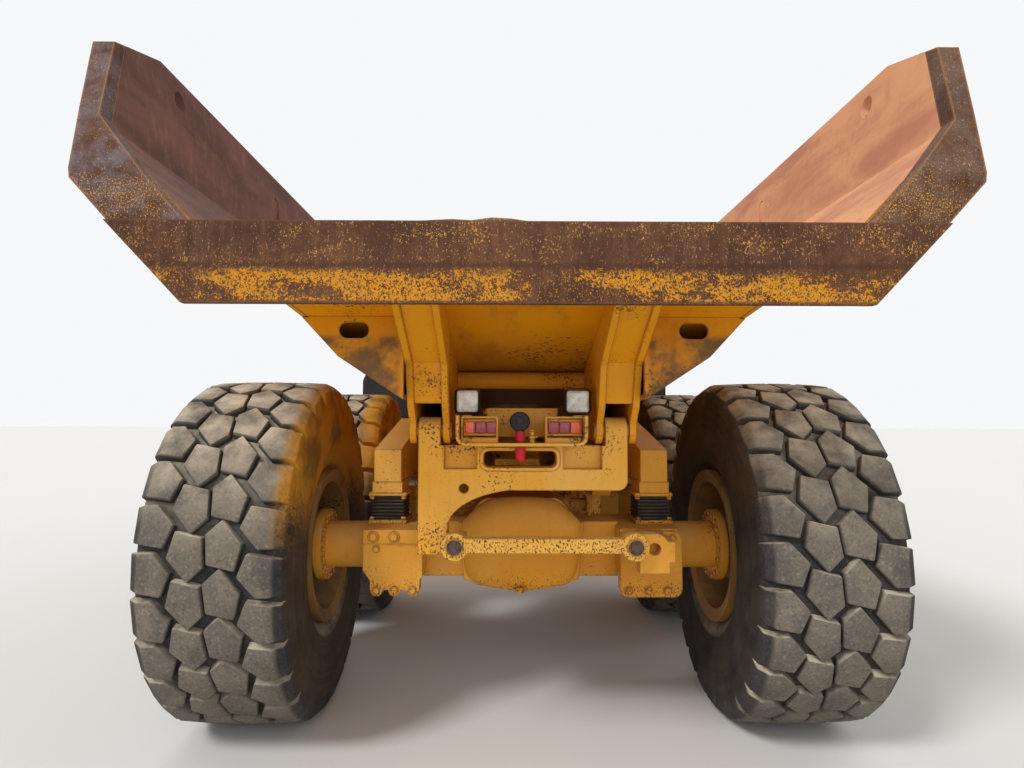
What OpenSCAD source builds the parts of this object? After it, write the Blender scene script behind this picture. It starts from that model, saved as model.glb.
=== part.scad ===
// Articulated dump truck, three axles, hinged behind the cab. Millimetres, +Y forward, +Z up.
// Origin: middle of the overall length and width, on the ground.

/* [Layout] */
// Tail of the bed to the rear axle
rear_overhang = 1300; // [1250:10:1500]
// Rear axle to middle axle
tandem = 1700; // [1650:10:1900]
// Middle axle to front axle
wheelbase = 4100; // [4000:10:4400]
// Front axle to the bumper
front_overhang = 2670; // [2600:10:2900]
// Front axle to the steering pin behind it
pin_behind_axle = 1350; // [1300:10:1450]
// Height of the hitch's middle
hitch_z = 900; // [880:10:940]

/* [Wheels] */
// Distance between the middles of a pair of tyres
track = 2370; // [2300:10:2500]
// Outside radius of a tyre
tyre_r = 776; // [740:2:800]
// Width of a tyre at its widest
tyre_w = 590; // [560:10:620]
// Depth of the tread grooves
tread_depth = 34; // [20:1:45]
// Lugs round a tyre
tread_pitches = 27; // [16:1:27]
// Radius of the rim where the tyre sits
bead_r = 318; // [310:1:325]
// Radius of the rim's flanges
flange_r = 356; // [350:1:365]
// Width of the rim between its flanges
rim_w = 495; // [460:5:520]

/* [Dump bed] */
// Height of the load floor's underside
floor_z = 1455; // [1440:5:1480]
// Half width of the flat floor
floor_half = 475; // [472:1:490]
// Half width where the floor's side slopes meet the walls
slope_half = 725; // [710:5:750]
// Height of that fold
slope_z = 1620; // [1600:5:1640]
// Half width of the bed at its widest
bed_half = 1363; // [1350:1:1380]
// Height where the walls turn upright
wall_z = 2310; // [2250:5:2350]
// Height of the walls' top edge
bed_top = 2730; // [2680:5:2800]
// Thickness of the bed's plates
plate = 18; // [12:1:25]
// Height of the top of the sill at the tail
sill_top = 1970; // [1950:5:2000]
// Height of the underside of the sill
sill_bottom = 1722; // [1700:2:1750]
// Angle through which the bed tips
tip_angle = 70; // [60:1:72]

/* [Frames] */
// Outside half width of the rear frame's rails
rail_half = 430; // [425:1:440]
// Thickness of each rear rail
rail_w = 90; // [85:1:95]
// Top of the rear frame's rails
rail_top = 1258; // [1240:1:1262]
// Bottom of the rear frame's rails
rail_bottom = 1010; // [990:5:1040]
// Height of the bed's hinge pins
tip_z = 1330; // [1320:1:1335]
// Bed hinge pins behind the rear axle
tip_behind = 450; // [430:5:460]
// Radius of the bed's hinge pins
tip_pin_r = 32; // [26:1:36]
// Outside half width of the front frame's rails
front_half = 400; // [380:5:420]
// Top of the front frame's rails
front_top = 1240; // [1220:5:1260]
// Bottom of the front frame's rails
front_bottom = 1010; // [1000:5:1040]

/* [Cab] */
// Half width of the cab
cab_half = 700; // [660:5:740]
// Underside of the cab
cab_z = 1740; // [1730:5:1760]
// Top of the cab's roof
roof_top = 3440; // [3400:5:3480]
// Length of the cab
cab_len = 1500; // [1440:10:1540]
// Wall thickness of the cab
cab_wall = 50; // [40:2:60]

/* [Hidden] */
$fn = 48;

yellow = "goldenrod";
rust = "sienna";
rubber = "dimgray";

// Places along the truck
length = rear_overhang + tandem + wheelbase + front_overhang;
y_tail = -length / 2;
y_rear = y_tail + rear_overhang;
y_mid = y_rear + tandem;
y_front = y_mid + wheelbase;
y_nose = y_front + front_overhang;
y_pin = y_front - pin_behind_axle;
y_tip = y_rear - tip_behind;
axle_z = tyre_r;
half_track = track / 2;
// Inner face of a wheel's hub, from the tyre's middle plane, and its radius
hub_face = 230;
hub_r = 160;
gap = 0.3;

// Cab
cab_y1 = y_front + 560;
cab_y0 = cab_y1 - cab_len;
roof_z = roof_top - 90;
door_y0 = cab_y0 + 380;
door_y1 = cab_y1 - 170;
door_hinge = [-cab_half - 14, door_y0];
door_hinge_z = [cab_z + 250, roof_z - 350];
hood_hinge = [y_nose - 215, front_top + 20];

engine_top = 1830;
radiator_top = 1780;

// Bed
sill_half_top = 1270;
sill_half_bottom = 1035;
sill_depth = 28;
sill_back = y_tail + sill_depth;
post_y = y_tail + 12;
post_depth = 70;
// How far the walls lean out above their fold, and how far the rail along their top stands out
wall_lean = 40;
top_rail = 68;
// Reach of the cuts that trim the bed's sides
side_room = bed_half + 110;
chute_y = y_rear + 500;
channel_y = y_rear - 650;
front_low_y = y_pin - 760;
front_top_y = y_pin - 400;
rail_web = 28;
bed_rail_out = rail_half + 10 + rail_web;
bed_rail_in = rail_half - rail_w - 10 - rail_web;
bed_rail_bottom = 1284;
pad_h = bed_rail_bottom - rail_top - gap;
flap_y = y_mid + 900;
flap_low = 1200;
deck_z = tip_z - 62;

// Rod that holds the rear axle sideways: its two pins, its rear face and height
cross_x = [-275, 448];
cross_y = y_tip - 128;
cross_z = 868;
tow_lug = [536, y_tip - 72, 850];

// Hoist and steering cylinders: base and eye, as places on the truck
hoist_x = 215;
hoist_base = [y_tip + 700, tip_z - 400];
hoist_eye = [y_tip + 2750, tip_z + 20];
steer_base = [300, y_pin + 870];
steer_eye = [260, y_pin - 100];
steer_z = hitch_z + 30;

// A prism along Y from y0 to y1 of an outline given as X and Z
module along_y(y0, y1) translate([0, y1, 0]) rotate([90, 0, 0]) linear_extrude(y1 - y0) children();
// A prism along X from x0 to x1 of an outline given as Y and Z
module along_x(x0, x1)
    translate([x0, 0, 0]) rotate([90, 0, 90]) linear_extrude(x1 - x0) children();
module both() { children(); mirror([1, 0, 0]) children(); }
// A block between two corners
module block(a, b) translate(a) cube(b - a);
module rod_x(x0, x1, y, z, r) translate([x0, y, z]) rotate([0, 90, 0]) cylinder(r = r, h = x1 - x0);
module rod_y(x, y0, y1, z, r) translate([x, y1, z]) rotate([90, 0, 0]) cylinder(r = r, h = y1 - y0);
module rod_z(x, y, z0, z1, r) translate([x, y, z0]) cylinder(r = r, h = z1 - z0);
// A flat bar with round ends, upright or lying, that runs along X or Y
module slot_x(x0, x1, y, z0, z1, r) {
    for (z = [z0, z1]) rod_x(x0, x1, y, z, r);
    block([x0, y - r, z0], [x1, y + r, z1]);
}
module slot_y(x0, x1, y0, y1, z, r) {
    for (x = [x0, x1]) rod_y(x, y0, y1, z, r);
    block([x0, y0, z - r], [x1, y1, z + r]);
}
// A block with its four edges along Y rounded
module round_block(a, b, r) {
    for (x = [a[0] + r, b[0] - r]) for (z = [a[2] + r, b[2] - r]) rod_y(x, a[1], b[1], z, r);
    block([a[0] + r, a[1], a[2]], [b[0] - r, b[1], b[2]]);
    block([a[0], a[1], a[2] + r], [b[0], b[1], b[2] - r]);
}

// Wheels

// Tread: angle from lug to lug, share of it that a lug takes, angle by which the right ends of the lugs
// lie ahead of their left ends, and the angle between the two corners that stand on the ground
pitch_angle = 360 / tread_pitches;
lug_angle = 0.65 * pitch_angle;
lug_lead = pitch_angle / 2;
foot_angle = lug_angle - lug_lead;
// Corners of one pitch on one side, as radius, distance from the middle plane and angle
tyre_corners = [
    [(bead_r + gap) / cos(0.75 * pitch_angle), rim_w / 2, 0],
    [flange_r + 6, rim_w / 2 - 2, 0],
    [tyre_r * 0.72, tyre_w / 2, 0],
    [tyre_r - 100, tyre_w / 2 - 3, 0],
    [tyre_r - 100, tyre_w / 2 - 3, lug_angle],
    [tyre_r / cos(foot_angle / 2), tyre_w / 2 - 14, 0],
    [tyre_r / cos(foot_angle / 2), tyre_w / 2 - 14, lug_angle],
    [tyre_r - tread_depth, tyre_w / 2 - 24, 0],
    [tyre_r - tread_depth, tyre_w / 2 - 24, lug_angle]];
corner_count = len(tyre_corners);
// Faces of one pitch on one side, then those across the tread; 10 and more are the next pitch's corners
side_faces = [[0, 1, 11, 10], [1, 2, 12, 11], [2, 3, 4], [2, 4, 12], [12, 4, 13], [3, 5, 6, 4],
              [4, 8, 17, 13], [4, 6, 8], [3, 7, 5]];
across_faces = [[10, 0], [5, 6], [8, 17], [6, 8], [7, 5]];
// Number of a corner in the whole tyre: its pitch, its side (0 left, 1 right) and its place in a pitch
function corner(pitch, side, k) =
    ((pitch + floor(k / 10)) % tread_pitches * 2 + side) * corner_count + k % 10;
module tyre(side, y)
    color(rubber) translate([side * half_track, y, axle_z]) polyhedron(
        [for (pitch = [0:tread_pitches - 1]) for (right = [0, 1]) for (c = tyre_corners)
            let (a = pitch * pitch_angle + c[2] + right * lug_lead - (lug_angle + lug_lead) / 2)
                [(right * 2 - 1) * c[1], c[0] * sin(a), -c[0] * cos(a)]],
        concat(
            [for (pitch = [0:tread_pitches - 1]) for (f = side_faces) [for (k = f) corner(pitch, 0, k)]],
            [for (pitch = [0:tread_pitches - 1]) for (f = side_faces)
                [for (i = [len(f) - 1:-1:0]) corner(pitch, 1, f[i])]],
            [for (pitch = [0:tread_pitches - 1]) for (f = across_faces)
                [corner(pitch, 1, f[0]), corner(pitch, 1, f[1]), corner(pitch, 0, f[1]),
                 corner(pitch, 0, f[0])]]));

// Rim with its two flanges, disc and planetary hub; the hub points outwards
module rim(side, y) {
    hub_out = 250;
    disc_x = 120;
    color(yellow) translate([side * half_track, y, axle_z]) rotate([0, side * 90, 0])
        rotate_extrude() polygon([
            [0, hub_out], [150, hub_out], [185, hub_out - 40], [190, disc_x + 22], [bead_r - 22, disc_x + 22],
            [bead_r - 22, rim_w / 2 + 20], [flange_r, rim_w / 2 + 34], [flange_r, rim_w / 2 + gap],
            [bead_r, rim_w / 2 + gap], [bead_r, -rim_w / 2 - gap], [flange_r, -rim_w / 2 - gap],
            [flange_r, -rim_w / 2 - 34], [bead_r - 22, -rim_w / 2 - 20], [bead_r - 22, disc_x],
            [180, disc_x], [180, -100], [hub_r, -110], [hub_r, gap - hub_face], [0, gap - hub_face]]);
}

// Rear frame

module rear_rails() {
    housing_y0 = y_pin - 620;
    housing_y1 = y_pin - 270;
    color(yellow) difference() {
        union() {
            // rails, shallower where they meet the casting
            both() difference() {
                block([rail_half - rail_w, y_tip + 55, rail_bottom], [rail_half, housing_y0 + 200, rail_top]);
                along_x(rail_half - rail_w - 1, rail_half + 1) polygon([
                    [y_tip, rail_bottom - 1], [y_tip, rail_bottom + 95], [y_tip + 260, rail_bottom + 95],
                    [y_tip + 420, rail_bottom - 1]]);
            }
            both() block([rail_half - 150, y_mid - 120, rail_bottom - 20],
                         [rail_half, y_mid + 120, rail_bottom + 1]);
            both() block([rail_half - rail_w, y_tip + 900, rail_top - 1],
                         [rail_half, front_low_y - 100, rail_top + pad_h]);
            block([-rail_half + 10, y_mid + 620, rail_bottom + 30],
                  [rail_half - 10, y_mid + 780, rail_top - 40]);
            block([-rail_half, housing_y0 - 60, hitch_z - 230], [rail_half, housing_y0 + 120, rail_top]);
            rod_y(0, housing_y0, housing_y1, hitch_z, 270);
            // walking beam trunnions
            both() rod_x(rail_half - rail_w, 700, y_rear + tandem / 2, rail_bottom + 90, 60 - gap);
            // hoist base trunnion
            both() rod_x(hoist_x - 60, rail_half - 10, hoist_base[0], hoist_base[1], 35 - gap);
            both() block([rail_half - rail_w, hoist_base[0] - 90, hoist_base[1] - 70],
                         [rail_half - 20, hoist_base[0] + 90, rail_bottom + 1]);
        }
        rod_y(0, housing_y0 - 61, housing_y1 + 1, hitch_z, 195 + gap);
    }
}

module pivot_casting() {
    face_y = y_tip - 55;
    back_y = y_tip + 55;
    column_in = rail_half - rail_w;
    leg_in = 310;
    leg_z = 825;
    beam_z = 1090;
    slot = [[-163, 1178], [138, 1246]];
    corner_r = 40;
    color(yellow) difference() {
        union() {
            difference() {
                along_y(face_y, back_y) polygon(concat(
                    [[-rail_half, leg_z], [-leg_in, leg_z], [-leg_in, beam_z - 5]],
                    [for (a = [-90:15:0])
                        [rail_half - corner_r + corner_r * cos(a),
                         beam_z - 5 + corner_r + corner_r * sin(a)]],
                    [[rail_half, tip_z], [column_in, tip_z], [column_in, deck_z], [-column_in, deck_z],
                     [-column_in, tip_z], [-rail_half, tip_z]]));
                // pockets beside the slot
                for (s = [-1, 1]) block([s > 0 ? 165 : -325, face_y - 1, 1172],
                                        [s > 0 ? 325 : -190, face_y + 45, 1300]);
            }
            // raised frame of the slot
            round_block([slot[0][0] - 14, face_y - 6, slot[0][1] - 14],
                        [slot[1][0] + 14, face_y + 1, slot[1][1] + 14], 34);
            // web under the beam that the arch is cut from
            difference() {
                along_y(face_y, back_y) polygon([
                    [-leg_in, beam_z - 160], [20, beam_z - 160], [20, beam_z], [-leg_in, beam_z]]);
                translate([20, 0, beam_z - 160]) scale([330, 1, 160])
                    along_y(face_y - 1, back_y + 1) circle(r = 1);
            }
            // foot and pin of the cross rod
            block([-leg_in - 1, face_y, leg_z], [-235, back_y, leg_z + 75]);
            rod_y(cross_x[0], cross_y - 12, face_y + 1, cross_z, 34 - gap);
            // bosses and pins
            both() rod_x(column_in, rail_half, y_tip, tip_z, 55);
            both() rod_x(bed_rail_in - 6, bed_rail_out + 6, y_tip, tip_z, tip_pin_r);
        }
        round_block([slot[0][0], face_y - 7, slot[0][1]], [slot[1][0], back_y + 1, slot[1][1]], 24);
        rod_y(-243, face_y - 1, back_y + 1, 1092, 20);
    }
}

// Housing of a driven axle on the rear frame: its round middle blends into the beam on both sides
function ease(t) = (1 - cos(180 * t)) / 2;
function housing_half(beam_low, beam_high) = concat(
    [for (t = [0:0.25:1]) [180 + 80 * t, axle_z - 153 + (axle_z + beam_low - axle_z + 153) * ease(t)]],
    [for (t = [1:-0.2:0]) [155 + 130 * t, axle_z + 242 + (beam_high - 242) * ease(t)]]);
module tandem_axle(y) {
    beam_low = -125;
    beam_high = 125;
    block_in = 440;
    block_out = 705;
    bolt_z = axle_z - 158;
    half = housing_half(beam_low, beam_high);
    color(yellow) translate([0, y, 0]) {
        along_y(-190, 170) polygon(concat(half, [for (i = [len(half) - 1:-1:0]) [-half[i][0], half[i][1]]]));
        rod_y(0, 170, 330, axle_z + 30, 110);
        block([-block_in - 10, -120, axle_z + beam_low], [block_in + 10, 120, axle_z + beam_high]);
        both() block([block_in, -230, axle_z - 90], [block_out, 230, axle_z + 110]);
        // left clamp with a lobe round each bolt, right clamp with round corners
        along_y(-250, -190) polygon([
            [-block_in, axle_z + 110], [-block_out, axle_z + 110], [-block_out, axle_z - 70],
            [-block_out + 32, axle_z - 118], [-block_out + 32, bolt_z], [-block_in - 12, bolt_z],
            [-block_in - 12, axle_z - 112], [-block_in, axle_z - 100]]);
        for (x = [-block_out + 62, -block_out + 142, -block_out + 222]) rod_y(x, -250, -190, bolt_z, 28);
        round_block([block_in, -250, axle_z - 190], [block_out + 12, -190, axle_z + 100], 38);
        both() rod_x(block_out - 10, half_track - hub_face, 0, axle_z, 108);
        both() rod_x(half_track - hub_face - 40, half_track - hub_face, 0, axle_z, hub_r + 5);
    }
}
module rear_axle() {
    tandem_axle(y_rear);
    // arm with the pin of the cross rod and the tow lug
    color(yellow) difference() {
        union() {
            block([520, tow_lug[1], axle_z + 20], [620, y_rear - 200, axle_z + 105]);
            block([cross_x[1] - 45, tow_lug[1], cross_z - 45], [tow_lug[0], tow_lug[1] + 57, cross_z + 45]);
            rod_y(cross_x[1], cross_y - 12, tow_lug[1] + 1, cross_z, 34 - gap);
            rod_y(tow_lug[0], tow_lug[1], tow_lug[1] + 57, tow_lug[2], 62);
            block(tow_lug - [62, 0, 98], tow_lug + [62, 57, 0]);
            // breather hose from the top of the housing to the beam
            translate([235, y_rear + 60, axle_z + 165]) rotate([90, 0, 0])
                rotate_extrude() translate([110, 0]) circle(r = 7, $fn = 16);
        }
        rod_y(tow_lug[0], tow_lug[1] - 1, tow_lug[1] + 58, tow_lug[2], 24.5);
    }
}
module middle_axle() tandem_axle(y_mid);

module rubber_mounts() {
    color(rubber) both() for (y = [y_rear, y_mid]) {
        block([537, y - 100, axle_z + 110], [713, y + 100, axle_z + 125]);
        block([547, y - 90, axle_z + 125], [703, y + 90, axle_z + 240]);
        block([537, y - 100, axle_z + 240], [713, y + 100, axle_z + 254]);
    }
}

module walking_beams() {
    beam_low = axle_z + 306;
    seat_h = 52;
    mid = y_rear + tandem / 2;
    color(yellow) both() difference() {
        union() {
            along_x(560, 687) polygon([
                [y_rear - 110, beam_low], [y_rear + 170, beam_low], [mid - 200, beam_low - 80],
                [mid + 200, beam_low - 80], [y_mid - 170, beam_low], [y_mid + 110, beam_low],
                [y_mid + 110, beam_low + 150], [mid + 160, beam_low + 293], [mid - 160, beam_low + 293],
                [y_rear - 110, beam_low + 150]]);
            for (y = [y_rear, y_mid]) block([555, y - 105, beam_low - seat_h], [695, y + 105, beam_low + 1]);
        }
        rod_x(550, 700, mid, rail_bottom + 90, 60);
    }
}

module drive_shafts() {
    color("dimgray") {
        rod_y(0, y_rear + 330, y_mid - 190, axle_z + 30, 50);
        rod_y(0, y_mid + 330, y_pin - 726, axle_z + 30, 50);
    }
}

// Rod that holds the rear axle sideways
module cross_rod() {
    color(yellow) difference() {
        union() {
            block([cross_x[0], cross_y, cross_z - 25], [cross_x[1], cross_y + 50, cross_z + 34]);
            for (x = cross_x) rod_y(x, cross_y, cross_y + 50, cross_z, 56);
        }
        for (x = cross_x) rod_y(x, cross_y - 1, cross_y + 51, cross_z, 34);
    }
}

guard_low = deck_z + gap;
guard_high = 1392;
guard_y = y_tip - 150;
guard_x = [-271, 257];
// Left and right end of each tail lamp's frame and of each work lamp
tail_lamp_x = [[-252, -102], [88, 250]];
work_lamp_x = [[-285, -175], [168, 283]];
module lamp_guard() {
    color(yellow) {
        // bar bent up at both ends, and the tray that carries it from the casting
        difference() {
            round_block([guard_x[0], guard_y, guard_low], [guard_x[1], guard_y + 40, guard_high + 60], 40);
            round_block([guard_x[0] + 14, guard_y - 1, guard_low + 14],
                        [guard_x[1] - 14, guard_y + 41, guard_high + 50], 26);
            block([guard_x[0] - 1, guard_y - 1, guard_high], [guard_x[1] + 1, guard_y + 41, guard_high + 61]);
        }
        block([guard_x[0] + 40, guard_y + 39, guard_low], [guard_x[1] - 40, y_tip + 50, guard_low + 8]);
        // frames round the tail lamps
        for (x = tail_lamp_x) difference() {
            block([x[0], guard_y + 46, guard_low + 7], [x[1], guard_y + 90, guard_high - 4]);
            block([x[0] + 8, guard_y + 45, guard_low + 34], [x[1] - 8, guard_y + 91, guard_high - 12]);
        }
        // stands of the work lamps
        for (x = work_lamp_x) block([(x[0] + x[1]) / 2 - 18, y_tip - 50, guard_low + 7],
                                    [(x[0] + x[1]) / 2 + 18, y_tip - 15, guard_high + 2 - gap]);
    }
}
module tail_lamps()
    color("firebrick") for (x = tail_lamp_x)
        block([x[0] + 8, guard_y + 50, guard_low + 34], [x[1] - 8, guard_y + 88, guard_high - 12]);
module work_lamps()
    color("whitesmoke") for (x = work_lamp_x)
        round_block([x[0], y_tip - 60, guard_high + 2], [x[1], y_tip - 5, guard_high + 114], 22);
module reversing_alarm() {
    color("black") {
        rod_y(-14, y_tip - 90, y_tip - 20, 1367, 42);
        block([-34, y_tip - 80, guard_low + 8 + gap], [6, y_tip - 30, 1340]);
    }
}

// Hitch: turns on the steering pin of the front frame, and rolls in the rear frame's housing
module hitch() {
    color(yellow) {
        difference() {
            union() {
                rod_z(0, y_pin, hitch_z - 160, hitch_z + 160, 120);
                block([-120, y_pin - 240, hitch_z - 150], [120, y_pin, hitch_z + 150]);
                rod_y(0, y_pin - 265, y_pin - 200, hitch_z, 250);
                rod_y(0, y_pin - 660, y_pin - 200, hitch_z, 195);
                rod_y(0, y_pin - 720, y_pin - 685, hitch_z, 215);
                rod_y(0, y_pin - 700, y_pin - 600, hitch_z, 120);
                both() block([100, steer_eye[1] - 60, steer_z - 100],
                             [steer_eye[0] + 60, steer_eye[1] + 60, steer_z - 45]);
            }
            rod_z(0, y_pin, hitch_z - 200, hitch_z + 200, 60 + gap);
        }
    }
}

// Dump bed

// Outline of the bed's section, right half, then the left half; t moves it inwards
function section(t) = [
    [-bed_half - wall_lean + t, bed_top + 1], [-bed_half + t, wall_z + t * 0.4],
        [-slope_half + t * 0.35, slope_z + t],
    [-floor_half + t * 0.3, floor_z + t], [floor_half - t * 0.3, floor_z + t],
        [slope_half - t * 0.35, slope_z + t],
    [bed_half - t, wall_z + t * 0.4], [bed_half + wall_lean - t, bed_top + 1]];
// Side view of the rear edge of the mouth's posts, bottom to top
tail_edge = [
    [post_y, sill_top], [post_y, wall_z - 180], [y_tail + 100, wall_z + 45], [y_tail + 215, bed_top - 97]];
post_top = [y_tail + 285, bed_top - 75];
// Side view of the walls: raked tail, level top, leaning front
wall_outline = concat(
    [[sill_back + gap, sill_top - 100], [sill_back + gap, sill_top - gap],
     [post_y + post_depth + gap, sill_top - gap]],
    [for (i = [1:2]) [tail_edge[i][0] + post_depth + gap, tail_edge[i][1]]],
    [[post_top[0] + gap, post_top[1]], [y_tail + 520, bed_top], [front_top_y, bed_top],
     [front_low_y, floor_z],
     [front_low_y - 400, floor_z - 50], [y_tail + 600, floor_z - 50]]);
// Height of the underside of the chute's floor plate at a place along the truck
function chute_z(y) = floor_z + (sill_top - plate - floor_z) * (chute_y - y) / (chute_y - y_tail);
// Side view of all that lies below the chute behind y
function below_chute(y) = [[y, chute_z(y)], [y_tail - 10, chute_z(y_tail - 10)], [y_tail - 10, floor_z - 100],
                           [y, floor_z - 100]];

chute_plate = [
    [chute_y + 5, floor_z], [chute_y + 5, floor_z + plate], [chute_y, floor_z + plate],
    [sill_back + gap, chute_z(sill_back + gap) + plate], [sill_back + gap, chute_z(sill_back + gap)],
    [chute_y, floor_z]];

module bed_shell() {
    difference() {
        intersection() {
            difference() {
                along_y(y_tail, front_top_y + 50) polygon(section(0));
                along_y(y_tail - 1, front_top_y + 51) polygon(section(plate));
            }
            along_x(-side_room, side_room) polygon(wall_outline);
        }
        // the floor ends where the chute starts, the channels beside it run on to their end plates
        along_x(-bed_rail_out, bed_rail_out) polygon(below_chute(chute_y));
        along_x(-bed_half, bed_half) polygon(below_chute(channel_y));
    }
}
module bed_floor() {
    // oval hole in the end plate of each channel: middle, height, half the run between its
    // round ends, their radius
    oval_x = 663;
    oval_z = 1722;
    oval_half = 26;
    oval_r = 31;
    // rear face of the end plates, and the height at which they meet the walls' lower edge
    end_y = channel_y - plate;
    end_z = chute_z(channel_y) - gap;
    color(rust) {
        intersection() {
            bed_shell();
            block([-slope_half, y_tail, floor_z - 10], [slope_half, front_top_y, slope_z]);
        }
        // chute plate up to the sill, as wide as the bed
        along_x(-bed_rail_out, bed_rail_out) polygon(chute_plate);
        intersection() {
            along_x(-bed_half, bed_half) polygon(chute_plate);
            along_y(y_tail - 1, front_top_y + 51) polygon(section(plate + gap));
        }
        // end plates of the channels, over the edge of the bed's side plates, each with its oval hole
        difference() {
            intersection() {
                along_y(end_y, channel_y - gap) polygon(section(0));
                along_x(-side_room, side_room) polygon([
                    [end_y - 1, floor_z], [channel_y, floor_z], [channel_y, end_z], [end_y - 1, end_z]]);
            }
            block([-bed_rail_out - gap, end_y - 1, floor_z - 1],
                  [bed_rail_out + gap, channel_y + 1, slope_z + 300]);
            both() slot_y(oval_x - oval_half, oval_x + oval_half, end_y - 1, channel_y + 1, oval_z, oval_r);
        }
        intersection() {
            along_y(end_y, channel_y - gap) polygon(section(plate + gap));
            both() block([bed_rail_out + gap, end_y, end_z - 1],
                         [bed_half, channel_y - gap, end_z + plate / 2]);
        }
    }
}
module bed_wall() {
    color(yellow) difference() {
        union() {
            intersection() {
                bed_shell();
                block([0, y_tail, slope_z], [side_room, front_top_y + 40, bed_top + 1]);
            }
            // top rail
            intersection() {
                block([bed_half + 26, y_tail + 300, bed_top - 110],
                      [bed_half + top_rail, front_top_y + 20, bed_top]);
                along_x(0, side_room) polygon(wall_outline);
            }
        }
        rod_x(bed_half - 60, side_room, y_rear - 640, bed_top - 95, 42);
        slot_x(bed_half - 60, side_room, y_rear + 470, bed_top - 310, bed_top - 160, 40);
    }
}
module bed_wall_left() mirror([1, 0, 0]) bed_wall();
module bed_wall_right() bed_wall();

module bed_front() {
    color(yellow) {
        intersection() {
            along_x(-side_room, side_room) polygon([
                [front_low_y - plate - 1, floor_z], [front_low_y - 1, floor_z], [front_top_y - 1, bed_top],
                [front_top_y - plate - 1, bed_top]]);
            along_y(y_tail, front_top_y + 60) polygon(section(plate + gap));
        }
        // spill guard
        along_x(-bed_half + 40, bed_half - 40) polygon([
            [front_top_y - plate - 1, bed_top], [front_top_y - 1, bed_top], [front_top_y + 30, bed_top + 220],
            [front_top_y + 10, bed_top + 236]]);
    }
}

// Heavy sill and posts round the mouth of the bed
module bed_tail() {
    root = 10;
    outer = [[1265, sill_top], [1382, 2100], [1386, 2140], [bed_half + 91, bed_top - 73]];
    inner = [[bed_half + wall_lean - plate - 3, bed_top - 58], [bed_half - plate, wall_z + 20],
             [1035, sill_top],
             [1035, sill_top - root]];
    color(rust) {
        along_y(y_tail, sill_back) polygon([
            [-sill_half_bottom, sill_bottom], [sill_half_bottom, sill_bottom], [sill_half_top, sill_top],
            [-sill_half_top, sill_top]]);
        // posts, set a little ahead of the sill's face, with a root in it
        both() intersection() {
            along_y(y_tail, y_tail + 400) polygon(concat([[1257, sill_top - root]], outer, inner));
            along_x(0, side_room) polygon(concat(
                [[post_y, sill_top - root]], tail_edge, [post_top],
                [for (i = [2:-1:0]) [tail_edge[i][0] + post_depth, tail_edge[i][1]]],
                [[sill_back, sill_top], [sill_back, sill_top - root]]));
        }
    }
}

module bed_rails() {
    knee = [y_rear - 630, 1590];
    toe = [y_rear - 570, 1428];
    end_y = sill_back + 2;
    web_end = chute_z(end_y) - 25;
    front_y = front_low_y - 40;
    web = concat(
        [[end_y, web_end], knee, toe, [y_tip - 55, tip_z + 30]],
        [for (a = [200:20:300]) [y_tip + 55 * cos(a), tip_z + 55 * sin(a)]],
        [[y_tip + 60, bed_rail_bottom], [front_y, bed_rail_bottom], [front_y, floor_z],
         [chute_y, floor_z], [end_y, chute_z(end_y)]]);
    color(yellow) both() {
        // hoist brackets
        block([hoist_x + 48, hoist_eye[0] - 90, hoist_eye[1] - 60],
              [bed_rail_in, hoist_eye[0] + 90, floor_z]);
        for (x = [bed_rail_in, bed_rail_out - rail_web]) difference() {
            along_x(x, x + rail_web) polygon(web);
            rod_x(x - 1, x + rail_web + 1, y_tip, tip_z, tip_pin_r + gap);
        }
        // bottom flange, ahead of the hinge and behind it
        block([bed_rail_in + rail_web, y_tip + 160, bed_rail_bottom],
              [bed_rail_out - rail_web, front_y, bed_rail_bottom + 20]);
        along_x(bed_rail_in + rail_web - 1, bed_rail_out - rail_web + 1) polygon([
            [end_y, web_end + 12], knee + [10, 12], toe + [8, 12], toe + [28, 12], knee + [30, 24],
            [end_y, web_end + 24]]);
    }
    // cross tube under the chute
    color(yellow) rod_x(-bed_rail_in - 1, bed_rail_in + 1, y_rear - 40, chute_z(y_rear - 40) - 43, 40);
}
function slope_at(x) = slope_z + (x - slope_half) * (wall_z - slope_z) / (bed_half - slope_half);
module wheel_flaps()
    color("black") both() along_y(flap_y, flap_y + 12) polygon([
        [875, flap_low], [half_track + 137, flap_low], [half_track + 137, 1700], [1150, slope_at(1150)],
        [875, slope_at(875)]]);

// Cylinders, drawn along their own axis from the base eye
module barrel(len, r) {
    color(yellow) {
        difference() {
            union() {
                rod_y(0, 50, len, 0, r);
                rod_y(0, len, len + 30, 0, r + 6);
                block([-45, -20, -45], [45, 60, 45]);
                rod_x(-45, 45, 0, 0, 58);
            }
            rod_y(0, 90, len + 31, 0, r - 14);
            rod_x(-46, 46, 0, 0, 35);
        }
    }
}
module piston_rod(from, to, r, eye_r, piston_r) {
    color("silver") {
        rod_y(0, from, to - eye_r + 8, 0, r);
        rod_y(0, from, from + 60, 0, piston_r);
        rod_x(-40, 40, to, 0, eye_r);
    }
}
hoist_v = hoist_eye - hoist_base;
hoist_len = norm(hoist_v);
hoist_slope = atan2(hoist_v[1], hoist_v[0]);
module hoist_place(side) translate([side * hoist_x, hoist_base[0], hoist_base[1]])
    rotate([hoist_slope, 0, 0]) children();
module hoist_barrel(side) hoist_place(side) barrel(1560, 72);
module hoist_rod(side) hoist_place(side) piston_rod(300, hoist_len, 42, 58, 57.7);
steer_v = steer_eye - steer_base;
module steer_place(side)
    translate([side * steer_base[0], steer_base[1], steer_z])
        rotate([0, 0, side * (atan2(steer_v[1], steer_v[0]) - 90)]) rotate([0, 90, 0]) children();
module steer_barrel(side) steer_place(side) barrel(600, 48);
module steer_rod(side) steer_place(side) piston_rod(330, norm(steer_v), 26, 45, 33.7);

// Front frame

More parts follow.
